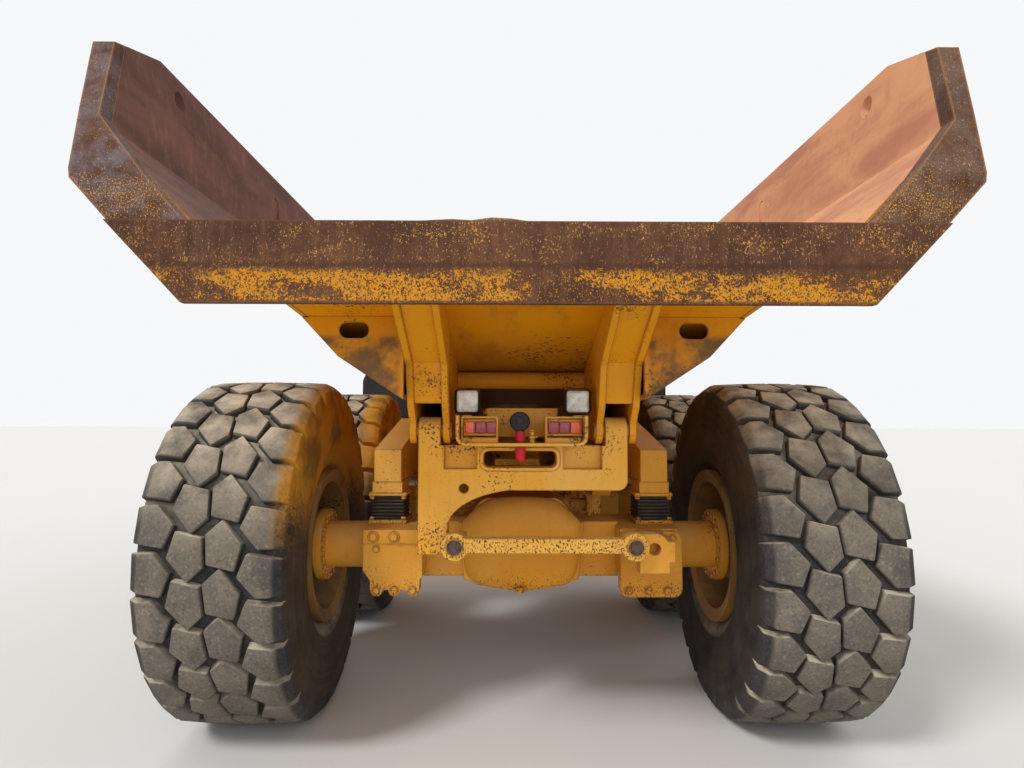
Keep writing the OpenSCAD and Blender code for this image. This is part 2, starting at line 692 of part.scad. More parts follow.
module front_rails() {
    rail_front = y_nose - 180;
    box_y = y_pin + 250;
    rail_in = front_half - 90;
    color(yellow) {
        both() block([rail_in, box_y + 100, front_bottom], [front_half, rail_front, front_top]);
        block([-rail_in, rail_front - 120, front_bottom], [rail_in, rail_front, front_top - 20]);
        block([-rail_in, y_front + 380, front_bottom + 40], [rail_in, y_front + 480, front_top - 20]);
        // cross box behind the rails, narrow where the steering cylinders pass, and the yoke's two plates
        block([-front_half, box_y, front_bottom], [front_half, box_y + 100, front_top]);
        block([-160, box_y, hitch_z - 60], [160, box_y + 100, front_bottom]);
        block([-290, box_y, hitch_z - 240], [290, box_y + 100, hitch_z - 60]);
        for (z = [hitch_z - 215, hitch_z + 165]) {
            block([-140, y_pin, z], [140, box_y, z + 50]);
            rod_z(0, y_pin, z, z + 50, 140);
        }
        rod_z(0, y_pin, hitch_z - 225, hitch_z + 225, 60 - gap);
        // pins of the steering cylinders
        both() {
            rod_z(steer_base[0], steer_base[1], steer_z - 60, front_bottom, 35 - gap);
            block([steer_base[0] - 60, steer_base[1] - 70, front_bottom - 22],
                  [front_half, steer_base[1] + 70, front_bottom]);
        }
        // drag arms of the front axle
        both() block([180, box_y + 100, axle_z - 60], [280, y_front - 170, axle_z + 40]);
        // suspension towers, cab pedestals and arms of the mudguards
        both() block([front_half, y_front - 120, front_bottom + 20],
                     [front_half + 170, y_front + 120, front_top + 120]);
        both() for (y = [cab_y0 + 60, cab_y1 - 160])
            block([front_half - 90, y, front_top], [front_half, y + 100, cab_z]);
        both() for (y = [-800, 740])
            block([front_half, y_front + y, front_top - 90], [1100, y_front + y + 60, front_top - 30]);
        // hood hinges
        both() {
            block([front_half, hood_hinge[0] - 35, front_top - 90],
                  [587, hood_hinge[0] + 30, hood_hinge[1] + 24]);
            rod_x(586, 622, hood_hinge[0], hood_hinge[1], 12);
        }
    }
}
module front_axle_beam() {
    color(yellow) translate([0, y_front, 0]) {
        rod_y(0, -170, 170, axle_z, 200);
        block([-640, -110, axle_z - 110], [640, 110, axle_z + 110]);
        both() rod_x(630, half_track - hub_face, 0, axle_z, 108);
        both() rod_x(half_track - hub_face - 40, half_track - hub_face, 0, axle_z, hub_r + 5);
        both() block([180, -170, axle_z - 60], [280, -100, axle_z + 40]);
    }
}
module struts() color("silver") both() {
    rod_z(front_half + 85, y_front, axle_z + 110, front_bottom + 20, 55);
}
module engine_block()
    color("gray") block([90 - front_half, y_front + 620, front_bottom + 20],
                        [front_half - 90, y_front + 1850, engine_top]);
module radiator() color("black") block([-520, y_nose - 400, front_top], [520, y_nose - 270, radiator_top]);
module bumper() {
    tow_pin_r = 18;
    color("black") difference() {
        union() {
            difference() {
                block([-1250, y_nose - 180, 700], [1250, y_nose, 1160]);
                block([-1190, y_nose - 181, 760], [1190, y_nose - 60, 980]);
                block([-130, y_nose - 61, 790], [130, y_nose + 1, 950]);
            }
            // two ears for a tow pin, in a window of the front plate
            for (z = [805, 905]) block([-131, y_nose - 100, z], [131, y_nose - 2, z + 30]);
        }
        rod_z(0, y_nose - 50, 804, 936, tow_pin_r);
        // way in for the tow pin, from above
        rod_z(0, y_nose - 50, 949, 1161, tow_pin_r + 4);
    }
}
module mudguards() {
    guard_r = tyre_r + 95;
    color(yellow) both() translate([0, y_front, axle_z]) difference() {
        rod_x(730, half_track + 300, 0, 0, guard_r + 20, $fn = 128);
        rod_x(729, half_track + 301, 0, 0, guard_r, $fn = 128);
        block([700, -1200, -1200], [half_track + 320, 1200, front_top - 30 - axle_z]);
    }
}
module steps() {
    rail_ends = [y_front + 570, y_front + 1180];
    rail_z = 2640;
    color("black") both() {
        for (i = [0:2]) block([1015, y_front + 960, 560 + 330 * i], [1405, y_front + 1200, 590 + 330 * i]);
        for (x = [1000, 1405]) block([x, y_front + 1070, 560], [x + 15, y_front + 1090, 1690]);
        block([710, y_front + 500, 1690], [1440, y_front + 1210, 1715]);
        block([front_half, y_front + 1065, front_bottom + 40], [1000, y_front + 1095, front_bottom + 120]);
        // handrail along the outside of the walkway
        for (y = rail_ends) rod_z(1400, y, 1714, rail_z, 19);
        rod_y(1400, rail_ends[0], rail_ends[1], 2180, 15);
        rod_y(1400, rail_ends[0] - 19, rail_ends[1] + 19, rail_z, 20);
    }
}

module cab_shell() {
    low = cab_z + 460;
    high = roof_z - 90;
    color(yellow) for (z = door_hinge_z) {
        door_knuckle(z - 40, z, door_y0 - 40, door_y0 - 1, 12);
        rod_z(door_hinge[0], door_hinge[1], z - 1, z + 40, 6);
    }
    color(yellow) difference() {
        along_x(-cab_half, cab_half) polygon([
            [cab_y0, cab_z], [cab_y1, cab_z], [cab_y1, cab_z + 500], [cab_y1 - 160, roof_z],
                [cab_y0, roof_z]]);
        along_x(-cab_half + cab_wall, cab_half - cab_wall) polygon([
            [cab_y0 + cab_wall, cab_z + cab_wall], [cab_y1 - cab_wall, cab_z + cab_wall],
            [cab_y1 - cab_wall, cab_z + 500], [cab_y1 - 160 - cab_wall, roof_z + 1],
                [cab_y0 + cab_wall, roof_z + 1]]);
        // windscreen and rear window
        block([-cab_half + 90, cab_y1 - 300, low + 40], [cab_half - 90, cab_y1 + 10, high]);
        block([-cab_half + 110, cab_y0 - 1, low + 120], [cab_half - 110, cab_y0 + cab_wall + 1, high]);
        // right side window, left door opening and the pane behind it
        block([cab_half - cab_wall - 1, cab_y0 + 120, low], [cab_half + 1, cab_y1 - 220, high]);
        block([-cab_half - 1, door_y0, cab_z + 60], [-cab_half + cab_wall + 1, door_y1, roof_z - 60]);
        block([-cab_half - 1, cab_y0 + 90, low + 100], [-cab_half + cab_wall + 1, door_y0 - 70, high]);
    }
}
module cab_glass() {
    low = cab_z + 460;
    high = roof_z - 90;
    color("lightblue") {
        intersection() {
            along_x(-cab_half + 90, cab_half - 90) polygon([
                [cab_y1 - 22, cab_z + 498], [cab_y1 - 12, cab_z + 498], [cab_y1 - 172, roof_z],
                    [cab_y1 - 182, roof_z]]);
            block([-cab_half, cab_y1 - 300, low + 40], [cab_half, cab_y1, high]);
        }
        block([-cab_half + 110, cab_y0 + 20, low + 120], [cab_half - 110, cab_y0 + 28, high]);
        block([cab_half - 28, cab_y0 + 120, low], [cab_half - 20, cab_y1 - 220, high]);
        block([-cab_half + 20, cab_y0 + 90, low + 100], [-cab_half + 28, door_y0 - 70, high]);
    }
}
module door_knuckle(z0, z1, y0, y1, r) {
    rod_z(door_hinge[0], door_hinge[1], z0, z1, r);
    block([door_hinge[0], y0, z0], [-cab_half + 8, y1, z1]);
}
module cab_door() {
    color(yellow) difference() {
        union() {
            difference() {
                block([-cab_half + 2, door_y0 + 6, cab_z + 66],
                      [-cab_half + cab_wall - 4, door_y1 - 8, roof_z - 66]);
                block([-cab_half, door_y0 + 76, cab_z + 520],
                      [-cab_half + cab_wall, door_y1 - 76, roof_z - 136]);
            }
            for (z = door_hinge_z) door_knuckle(z + gap, z + 40, door_y0 + 1, door_y0 + 40, 12);
        }
        for (z = door_hinge_z) rod_z(door_hinge[0], door_hinge[1], z, z + 41, 6 + gap);
    }
}
module door_glass()
    color("lightblue")
        block([-cab_half + 20, door_y0 + 76, cab_z + 520], [-cab_half + 28, door_y1 - 76, roof_z - 136]);
module cab_roof() {
    color("white") block([-cab_half - 20, cab_y0 - 30, roof_z + gap],
                         [cab_half + 20, cab_y1 - 100, roof_top]);
}
module seat() {
    color("dimgray") {
        block([-170, cab_y0 + 420, cab_z + cab_wall], [170, cab_y0 + 760, cab_z + 380]);
        block([-240, cab_y0 + 380, cab_z + 380], [240, cab_y0 + 880, cab_z + 500]);
        block([-230, cab_y0 + 280, cab_z + 440], [230, cab_y0 + 380, cab_z + 1150]);
    }
}
module steering_column() {
    color("black") {
        block([-420, cab_y1 - 330, cab_z + cab_wall], [420, cab_y1 - 60, cab_z + 460]);
        translate([0, cab_y1 - 400, cab_z + 560]) rotate([30, 0, 0]) {
            rotate_extrude() translate([200, 0]) circle(r = 16, $fn = 16);
            block([-200, -14, -12], [200, 14, 12]);
            rod_z(0, 0, -180, 0, 30);
        }
    }
}

module hood() {
    back = cab_y1 + 20;
    front = y_nose - 120;
    // opening of the grille: half width, bottom and top
    grille = [480, 1320, 1650];
    color(yellow) difference() {
        union() {
            difference() {
                hood_skin(back, front);
                block([-grille[0], front - 31, grille[1]], [grille[0], front + 1, grille[2]]);
            }
            // slats of the grille
            for (z = [grille[1] + 22:48:grille[2] - 30])
                block([-grille[0] - 1, front - 26, z], [grille[0] + 1, front - 8, z + 22]);
            for (x = [-grille[0] / 3, grille[0] / 3])
                block([x - 12, front - 20, grille[1] - 1], [x + 12, front - 10, grille[2] + 1]);
            both() rod_x(590, 620, hood_hinge[0], hood_hinge[1], 30);
            both() block([590, hood_hinge[0] - 30, hood_hinge[1]], [620, hood_hinge[0] + 30, front_top + 60]);
        }
        both() rod_x(589, 623, hood_hinge[0], hood_hinge[1], 12 + gap);
    }
}
module hood_skin(back, front) {
    difference() {
        intersection() {
            along_x(-620, 620) polygon([
                [back, front_top + 30], [front, front_top + 30], [front, 1700], [front - 120, 1850],
                    [back, 2300]]);
            along_y(back - 1, front + 1) polygon([
                [-620, front_top], [620, front_top], [620, 2050], [520, 2310], [-520, 2310], [-620, 2050]]);
        }
        intersection() {
            along_x(-590, 590) polygon([
                [back - 1, front_top + 29], [front - 30, front_top + 29], [front - 30, 1690],
                    [front - 135, 1822],
                [back - 1, 2270]]);
            along_y(back - 2, front - 29) polygon([
                [-590, front_top], [590, front_top], [590, 2040], [500, 2280], [-500, 2280], [-590, 2040]]);
        }
    }
}
module exhaust() {
    color("dimgray") {
        rod_z(470, cab_y0 - 170, 1560, 2500, 110);
        rod_z(470, cab_y0 - 170, 2500, 3150, 60);
        block([360, cab_y0 - 260, 1500], [580, cab_y0 - 60, 1560]);
        block([330, cab_y0 - 240, front_top], [front_half, y_pin + 350, 1500]);
    }
}
module air_cleaner() {
    color("black") {
        rod_z(-470, cab_y0 - 170, 1560, 2250, 130);
        block([-580, cab_y0 - 260, 1500], [-360, cab_y0 - 60, 1560]);
        block([-front_half, cab_y0 - 240, front_top], [-330, y_pin + 350, 1500]);
        rod_z(-470, cab_y0 - 170, 2250, 2700, 60);
        rod_z(-470, cab_y0 - 170, 2700, 2820, 110);
    }
}
module mirrors() {
    color("black") both() {
        block([cab_half, cab_y1 - 120, 2640], [1330, cab_y1 - 90, 2670]);
        block([1190, cab_y1 - 90, 2250], [1440, cab_y1 - 50, 2700]);
    }
}
module headlamps()
    color("whitesmoke") both() for (x = [860, 1050]) block([x, y_nose - 170, 1160],
                                                           [x + 150, y_nose - 40, 1290]);

rear_rails();
pivot_casting();
rear_axle();
middle_axle();
walking_beams();
rubber_mounts();
drive_shafts();
cross_rod();
lamp_guard();
tail_lamps();
work_lamps();
reversing_alarm();
hitch();
bed_floor();
bed_wall_left();
bed_wall_right();
bed_front();
bed_tail();
bed_rails();
wheel_flaps();
hoist_barrel(-1);  // hoist_barrel_left
hoist_barrel(1);  // hoist_barrel_right
hoist_rod(-1);  // hoist_rod_left
hoist_rod(1);  // hoist_rod_right
steer_barrel(-1);  // steer_barrel_left
steer_barrel(1);  // steer_barrel_right
steer_rod(-1);  // steer_rod_left
steer_rod(1);  // steer_rod_right
front_rails();
front_axle_beam();
struts();
engine_block();
radiator();
bumper();
mudguards();
steps();
cab_shell();
cab_glass();
cab_roof();
seat();
steering_column();
cab_door();
door_glass();
exhaust();
air_cleaner();
mirrors();
headlamps();
hood();
tyre(-1, y_rear);  // tyre_rear_left
tyre(1, y_rear);  // tyre_rear_right
tyre(-1, y_mid);  // tyre_middle_left
tyre(1, y_mid);  // tyre_middle_right
tyre(-1, y_front);  // tyre_front_left
tyre(1, y_front);  // tyre_front_right
rim(-1, y_rear);  // rim_rear_left
rim(1, y_rear);  // rim_rear_right
rim(-1, y_mid);  // rim_middle_left
rim(1, y_mid);  // rim_middle_right
rim(-1, y_front);  // rim_front_left
rim(1, y_front);  // rim_front_right
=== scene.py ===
import bmesh
import bpy
import math
from mathutils import Matrix, Vector, noise


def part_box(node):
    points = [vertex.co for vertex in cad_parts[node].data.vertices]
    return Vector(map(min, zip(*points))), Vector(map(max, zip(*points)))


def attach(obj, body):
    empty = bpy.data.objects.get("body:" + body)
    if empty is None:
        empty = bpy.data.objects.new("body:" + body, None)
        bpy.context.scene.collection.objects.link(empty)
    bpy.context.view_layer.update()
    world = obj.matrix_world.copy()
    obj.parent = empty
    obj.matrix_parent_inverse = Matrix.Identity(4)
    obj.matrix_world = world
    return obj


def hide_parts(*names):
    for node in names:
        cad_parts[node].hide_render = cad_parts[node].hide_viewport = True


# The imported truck: it faces +Y, and the camera stands behind its dump bed.
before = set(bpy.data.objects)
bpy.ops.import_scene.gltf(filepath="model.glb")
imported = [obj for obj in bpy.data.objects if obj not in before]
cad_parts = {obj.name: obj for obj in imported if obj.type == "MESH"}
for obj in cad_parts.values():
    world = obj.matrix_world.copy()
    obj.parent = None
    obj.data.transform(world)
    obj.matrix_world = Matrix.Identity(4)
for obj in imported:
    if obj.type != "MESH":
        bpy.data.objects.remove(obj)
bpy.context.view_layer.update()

# Camera: a phone's wide lens at chest height, a little left of the middle, close behind the bed's tail.
# The focal length is in pixels of a picture 1024 wide, and the eye's place is measured from the rear axle.
PHOTO_W = 1024
FOCAL_PX = 674.46
BEHIND_AXLE = 3.2856
EYE_X = -0.0686
EYE_Z = 1.3859
PITCH, YAW, ROLL = 0.0488, -0.008, 0.0024
SENSOR_W = 36
FAR_CLIP = 200


def middle(name):
    """Middle of a CAD node's box."""
    low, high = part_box(name)
    return (low + high) / 2


rear_axle_y = middle("tyre_rear_left").y
ahead = Vector((-math.sin(YAW) * math.cos(PITCH), math.cos(YAW) * math.cos(PITCH), math.sin(PITCH)))
level = Vector((math.cos(YAW), math.sin(YAW), 0))
above = level.cross(ahead)
right = level * math.cos(ROLL) + above * math.sin(ROLL)
up = above * math.cos(ROLL) - level * math.sin(ROLL)
lens = bpy.data.cameras.new("camera")
lens.sensor_width = SENSOR_W
lens.lens = SENSOR_W * FOCAL_PX / PHOTO_W
lens.clip_end = FAR_CLIP
camera = bpy.data.objects.new("camera", lens)
bpy.context.scene.collection.objects.link(camera)
turn = Matrix((right, up, -ahead)).transposed().to_4x4()
camera.matrix_world = Matrix.Translation((EYE_X, rear_axle_y - BEHIND_AXLE, EYE_Z)) @ turn
bpy.context.scene.camera = camera


# Floor and light: a pale concrete floor, a soft key from behind on the left as the sun stood, and an even
# sky. Metal and glass see the same bright backdrop as the camera does.
def colour(red, green, blue):
    """Red, green and blue from 0 to 255, as a picture shows them, as a shader's linear colour."""
    shares = [c / 255 for c in (red, green, blue)]
    return (*[s / 12.92 if s <= 0.04 else ((s + 0.055) / 1.055) ** 2.4 for s in shares], 1)


def fill_in(socket, value):
    """Sets a socket, or links another node's output to it. A colour may be given as a picture shows it."""
    if isinstance(value, bpy.types.NodeSocket):
        socket.id_data.links.new(value, socket)
    elif socket.type == "RGBA" and len(value) == 3:
        socket.default_value = colour(*value)
    else:
        socket.default_value = value


def put(tree, kind, fill=None, **settings):
    """Adds a node. fill gives its inputs values, or other nodes' outputs to link."""
    node = tree.nodes.new(kind)
    for key, value in settings.items():
        setattr(node, key, value)
    for key, value in (fill or {}).items():
        fill_in(node.inputs[key], value)
    return node


def tree_of(*values):
    """The node tree of the first value that is a node's output."""
    return next(value.id_data for value in values if isinstance(value, bpy.types.NodeSocket))


def calc(operation, a, b=0):
    return put(tree_of(a, b), "ShaderNodeMath", {0: a, 1: b}, operation=operation).outputs[0]


def most(first, *others):
    """The greatest of values."""
    for other in others:
        first = calc("MAXIMUM", first, other)
    return first


def material(name):
    """A new material, its tree and its shader."""
    made = bpy.data.materials.new(name)
    made.use_nodes = True
    return made, made.node_tree, made.node_tree.nodes["Principled BSDF"]


def wire(shader, **sockets):
    """Links or sets the shader's inputs, named in plain words."""
    for label, value in sockets.items():
        fill_in(shader.inputs[label.replace("_", " ")], value)


FLOOR_SIZE = 160
bpy.ops.object.select_all(action="DESELECT")
bpy.ops.mesh.primitive_plane_add(size=FLOOR_SIZE)
floor = bpy.context.object
floor.name = "floor"
floor_finish, tree, shader = material("pale_floor")
wire(shader, Base_Color=(222, 220, 216), Roughness=0.9)
floor.data.materials.append(floor_finish)
SKY = 0.52
BACKDROP = 1
world = bpy.data.worlds.new("studio")
bpy.context.scene.world = world
world.use_nodes = True
tree = world.node_tree
rays = put(tree, "ShaderNodeLightPath").outputs
seen = most(rays["Is Glossy Ray"], rays["Is Transmission Ray"], rays["Is Camera Ray"])
strength = put(tree, "ShaderNodeMix", {0: seen, 2: SKY, 3: BACKDROP}, data_type="FLOAT").outputs[0]
backdrop = tree.nodes["Background"]
fill_in(backdrop.inputs["Color"], (246, 248, 250))
fill_in(backdrop.inputs["Strength"], strength)
# Name, power, softness, and the tilt and heading in degrees of each lamp.
LAMPS = [("key", 1.9, 0.25, 48, -42), ("fill", 0.5, 0.8, 55, 120), ("front", 0.45, 0.8, 50, 205),
         ("behind", 1, 1, 75, 8)]
for name, power, softness, tilt, heading in LAMPS:
    lamp = bpy.data.lights.new(name, "SUN")
    lamp.energy = power
    lamp.angle = softness
    light = bpy.data.objects.new(name, lamp)
    light.rotation_euler = (math.radians(tilt), 0, math.radians(heading))
    bpy.context.scene.collection.objects.link(light)


# Weathering that the painted and bare steel share: edges worn bright, flakes of lost paint, dust that
# settles on what faces up, and rust from dark scale to bright bloom. Each effect is a group that gives
# masks or colours.
def times(first, *others):
    """The product of values."""
    for factor in others:
        first = calc("MULTIPLY", first, factor)
    return first


def plus(first, *others):
    """The sum of values."""
    for term in others:
        first = calc("ADD", first, term)
    return first


def minus(a, b):
    return calc("SUBTRACT", a, b)


def ramp(value, low, high, start=0, end=1):
    """A soft step of value between low and high."""
    fill = {"Value": value, "From Min": low, "From Max": high, "To Min": start, "To Max": end}
    return put(value.id_data, "ShaderNodeMapRange", fill, interpolation_type="SMOOTHSTEP").outputs[0]


def mixed(share, a, b):
    """Colour a where share is 0 and b where it is 1."""
    return put(tree_of(share, a, b), "ShaderNodeMix", {0: share, 6: a, 7: b}, data_type="RGBA").outputs[2]


def grain(where, scale, detail=4, rough=0.6, warp=0):
    """Cloudy noise, about 0.5 on average."""
    fill = {"Vector": where, "Scale": scale, "Detail": detail, "Roughness": rough, "Distortion": warp}
    return put(where.id_data, "ShaderNodeTexNoise", fill).outputs[0]


def here(tree, centre=(0, 0, 0), stretch=(1, 1, 1)):
    """The place on the truck, from a centre, with each axis stretched."""
    place = put(tree, "ShaderNodeTexCoord").outputs["Object"]
    fill = {"Vector": place, "Location": [-c * s for c, s in zip(centre, stretch)], "Scale": stretch}
    return put(tree, "ShaderNodeMapping", fill).outputs[0]


def parts(vector):
    """The X, Y and Z of a vector."""
    return put(vector.id_data, "ShaderNodeSeparateXYZ", {0: vector}).outputs


def normal(tree):
    """The way that the surface faces."""
    return put(tree, "ShaderNodeNewGeometry").outputs["Normal"]


def group(name, inputs, outputs):
    """A node group of one effect, with its input and output nodes' sockets."""
    tree = bpy.data.node_groups.new(name, "ShaderNodeTree")
    for label, value in inputs.items():
        socket = tree.interface.new_socket(label, in_out="INPUT", socket_type="NodeSocketFloat")
        socket.default_value = value
    for label, kind in outputs.items():
        tree.interface.new_socket(label, in_out="OUTPUT", socket_type="NodeSocket" + kind)
    return tree, tree.nodes.new("NodeGroupInput").outputs, tree.nodes.new("NodeGroupOutput").inputs


tree, given, out = group("edge_wear", {"Radius": 0.006, "Amount": 0.5, "Scale": 45}, {"Mask": "Float"})
soft = put(tree, "ShaderNodeBevel", {"Radius": given["Radius"]}, samples=3).outputs[0]
agree = put(tree, "ShaderNodeVectorMath", {0: soft, 1: normal(tree)},
            operation="DOT_PRODUCT").outputs["Value"]
edge = ramp(agree, 0.998, 0.86)
rough_noise = grain(here(tree), given["Scale"], 5, 0.7)
limit = minus(0.86, times(given["Amount"], 0.55))
both = times(edge, plus(rough_noise, 0.25))
fill_in(out["Mask"], ramp(minus(both, limit), -0.03, 0.04))

tree, given, out = group("flakes", {"Scale": 30, "Amount": 0.3, "Patch": 3, "Offset": 0}, {"Mask": "Float"})
place = put(tree, "ShaderNodeVectorMath", {0: here(tree), 1: given["Offset"]}).outputs[0]
fine = grain(place, given["Scale"], 7, 0.72)
patch = grain(place, given["Patch"], 2, 0.5)
both = plus(fine, times(minus(patch, 0.5), 0.7))
limit = minus(0.8, times(given["Amount"], 0.45))
fill_in(out["Mask"], ramp(minus(both, limit), -0.015, 0.02))

tree, given, out = group("settled_dust", {"Amount": 0.5, "Scale": 6}, {"Mask": "Float"})
lying = ramp(parts(normal(tree))["Z"], 0.1, 0.9, 0.05, 1)
cloud = ramp(grain(here(tree), given["Scale"], 6, 0.65), 0.25, 0.75)
fill_in(out["Mask"], times(given["Amount"], lying, cloud))

tree, given, out = group("rust", {"Scale": 4, "Warmth": 0.5}, {"Color": "Color", "Height": "Float"})
broad = grain(here(tree), given["Scale"], 5, 0.6, 0.3)
small = grain(here(tree), times(given["Scale"], 9), 8, 0.75)
tone = plus(times(broad, 0.62), times(small, 0.38))
tones = put(tree, "ShaderNodeValToRGB", {0: tone})
stops = tones.color_ramp.elements
stops[0].position, stops[0].color = 0.36, colour(50, 30, 20)
stops[1].position, stops[1].color = 0.66, colour(160, 104, 64)
for position, tint in [(0.44, colour(76, 46, 31)), (0.5, colour(96, 60, 41)), (0.57, colour(122, 78, 51))]:
    stops.new(position).color = tint
cool = mixed(0.55, tones.outputs[0], (98, 74, 66))
fill_in(out["Color"], mixed(given["Warmth"], cool, tones.outputs[0]))
fill_in(out["Height"], small)


# Rear frame, axles and drive shafts: castings and welded plate, sprayed ochre yellow after they were put
# together, dusty where they lie flat and peppered by stones low down. The shafts between the axles are
# black.
def use(tree, effect, **values):
    """Places a group of one effect in a material, and returns its outputs."""
    node = put(tree, "ShaderNodeGroup", node_tree=bpy.data.node_groups[effect])
    for label, value in values.items():
        fill_in(node.inputs[label], value)
    return node.outputs


def dust_on(tree, amount, scale):
    """A mask of the dust on what faces up."""
    return use(tree, "settled_dust", Amount=amount, Scale=scale)["Mask"]


def bump(height, depth, strength):
    fill = {"Height": height, "Distance": depth, "Strength": strength}
    return put(height.id_data, "ShaderNodeBump", fill).outputs[0]


def dress(finish, *names):
    """Gives CAD nodes their finish."""
    for name in names:
        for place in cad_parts[name].material_slots:
            place.material = finish


def steel(name, paint, faded, bare, chips=0.3, worn=0.5, dust=0.4, gloss=0.45, seed=0, specks=0.5, low=0):
    """Painted steel of a yard machine: faded film, chips down to rust, worn edges and settled dust.

    low is the height under which stones have peppered it."""
    made, tree, shader = material(name)
    place = here(tree)
    film = mixed(ramp(grain(place, 2.3, 5, 0.6, 0.4), 0.35, 0.68), paint, faded)
    runs = grain(here(tree, stretch=(9, 9, 1.2)), 3, 4, 0.6)
    film = mixed(times(ramp(runs, 0.55, 0.75), 0.12), film, bare)
    dots = ramp(grain(place, 150, 2, 0.5), 0.66, 0.74)
    film = mixed(times(dots, specks), film, bare)
    struck = times(ramp(parts(place)["Z"], low + 0.02, low - 0.12), 0.155)
    pits = grain(here(tree, stretch=(1, 1, 0.7)), 140, 3, 0.6)
    pepper = ramp(plus(pits, struck), 0.715, 0.735)
    pit_floor = [b + (d - b) * 0.35 for b, d in zip(colour(*bare), colour(40, 26, 18))]
    film = mixed(pepper, film, pit_floor)
    rust = use(tree, "rust", Scale=11, Warmth=0.45)
    flake = use(tree, "flakes", Scale=86, Amount=chips, Patch=3.4, Offset=seed)["Mask"]
    edge = use(tree, "edge_wear", Radius=0.007, Amount=worn, Scale=60)["Mask"]
    lost = most(flake, edge)
    steel_tone = mixed(lost, film, mixed(0.5, bare, rust["Color"]))
    powder = dust_on(tree, dust, 5)
    skin = mixed(powder, steel_tone, (196, 176, 140))
    rough = ramp(plus(lost, powder), 0, 1, gloss, 0.92)
    relief = plus(times(grain(place, 260, 2), 0.25), times(lost, -0.8))
    wire(shader, Base_Color=skin, Roughness=rough, Specular_IOR_Level=0.22, Normal=bump(relief, 0.0012, 0.55))
    return made


OCHRE = (224, 158, 40)
OCHRE_FADED = (226, 170, 74)
CHIPPED = (92, 58, 32)
frame_paint = steel("frame_yellow", OCHRE, OCHRE_FADED, CHIPPED, chips=0.33, worn=0.55, dust=0.35, low=1.02)
axle_paint = steel("axle_yellow", (206, 138, 30), (214, 152, 54), CHIPPED, chips=0.28, worn=0.4, dust=0.5,
                   seed=3, low=0.72)
dress(frame_paint, "rear_rails", "pivot_casting", "walking_beams", "cross_rod", "lamp_guard", "hitch",
      "hoist_barrel_left", "hoist_barrel_right", "steer_barrel_left", "steer_barrel_right")
dress(axle_paint, "rear_axle", "middle_axle", "front_axle_beam", "front_rails")
shaft_paint = steel("shaft_black", (58, 54, 50), (92, 82, 70), (110, 78, 52), chips=0.3, dust=0.5)
dress(shaft_paint, "drive_shafts")


# Dump bed: an open body of wear plate, welded up on rails of folded plate, with doubler pads over the
# walls' slots. Outside and below it keeps its golden paint, and inside the loads have scoured it to rust.
def unsigned(value):
    """A value without its sign, for places that are the same on both sides of the truck."""
    return calc("ABSOLUTE", value)


HOLES_FROM = 2.25


